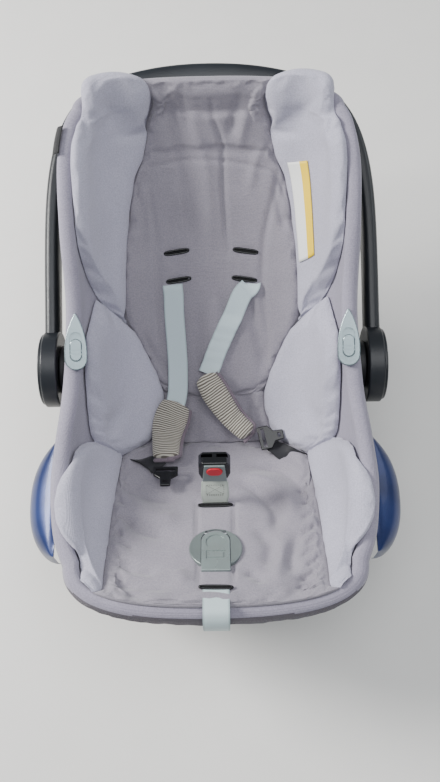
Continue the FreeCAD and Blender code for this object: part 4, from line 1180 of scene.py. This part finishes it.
def label_place(s, t):
    u = 5.98 + 1.32 * s
    v = 0.535 + 0.150 * t - 0.075 * s
    return lie_on(skin_tree, u, v, 0.0012)


label = wrap_sheet("blank_care_label", 30, 12, label_place, label_cloth("label_satin"), with_uv=True)
thicken(label, 0.0005, 1.0)
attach(label, "seat")
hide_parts("blank_label")


TAG_START, TAG_LENGTH, TAG_RADIUS = 1.79, 0.08, 10.9


def tag_place(s, t):
    wanted = TAG_START + TAG_LENGTH * s
    i = min(range(len(RIM_LOOP)), key=lambda k: abs(RIM_LOOP[k][2] - wanted) + (RIM_LOOP[k][1] > 0))
    part = (wanted - RIM_LOOP[i][2]) * U_STEPS
    here = RIM[i].lerp(RIM[i + 1 if part >= 0 else i - 1], min(abs(part), 1))
    angle = 0.2 + 1.35 * t
    return here + (rim_out(i) * (TAG_RADIUS * math.sin(angle) + 1.0) +
                   Vector((0, 0, TAG_RADIUS * math.cos(angle)))) * MM


tag_cloth = webbing("tag_ribbon", rgb(30, 30, 33), 50.0)
tag = wrap_sheet("blank_side_tag", 16, 10, tag_place, tag_cloth, with_uv=True)
thicken(tag, 0.0006, 1.0)
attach(tag, "seat")
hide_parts("side_tag")
print("label and tag placed")

# %% [markdown]
# ## Stage, light and camera
# A pale floor, a bright window on the left, a wide soft light above and a weak one from the other side.

# %% Floor
CENTRE = (cad_box[0] + cad_box[1]) / 2
floor_paint = moulded("floor_paint", rgb(240, 238, 234), 0.7, 0.0, mottle=0.012)
bm = bmesh.new()
bmesh.ops.create_grid(bm, x_segments=2, y_segments=2, size=4.0)
floor = new_piece("floor", bm, floor_paint)


# %% Lights
def area_light(name, place, size, power, colour):
    light = bpy.data.lights.new(name, "AREA")
    light.shape = "DISK"
    light.size = size
    light.energy = power
    light.color = colour
    lamp = bpy.data.objects.new(name, light)
    lamp.location = place
    lamp.rotation_euler = (CENTRE - Vector(place)).to_track_quat("-Z", "Y").to_euler()
    bpy.context.scene.collection.objects.link(lamp)


area_light("window", (-1.75, 0.35, 1.45), 0.8, 78, (1.0, 0.99, 0.97))
area_light("ceiling", (0.2, -0.3, 2.5), 2.0, 32, (0.97, 0.98, 1.0))
area_light("room", (2.0, 0.9, 1.4), 1.2, 10, (0.94, 0.97, 1.0))
world = bpy.data.worlds.new("room")
bpy.context.scene.world = world
world.use_nodes = True
sky = world.node_tree.nodes["Background"]
sky.inputs["Color"].default_value = (0.8, 0.86, 0.92, 1)
sky.inputs["Strength"].default_value = 0.36

# %% Camera
CAMERA_HEIGHT = 1.2125
CAMERA_BACK = 0.4702
CAMERA_ASIDE = 0.008
CAMERA_PITCH = 21.9
CAMERA_ROLL = -1.0
camera_data = bpy.data.cameras.new("camera")
camera_data.sensor_width = 36.0
camera_data.lens = 41.4
camera = bpy.data.objects.new("camera", camera_data)
camera.location = (CAMERA_ASIDE, -CAMERA_BACK, CAMERA_HEIGHT)
pitch = Matrix.Rotation(math.radians(CAMERA_PITCH), 4, "X")
roll = Matrix.Rotation(math.radians(CAMERA_ROLL), 4, "Z")
camera.rotation_euler = (pitch @ roll).to_euler()
bpy.context.scene.collection.objects.link(camera)
bpy.context.scene.camera = camera
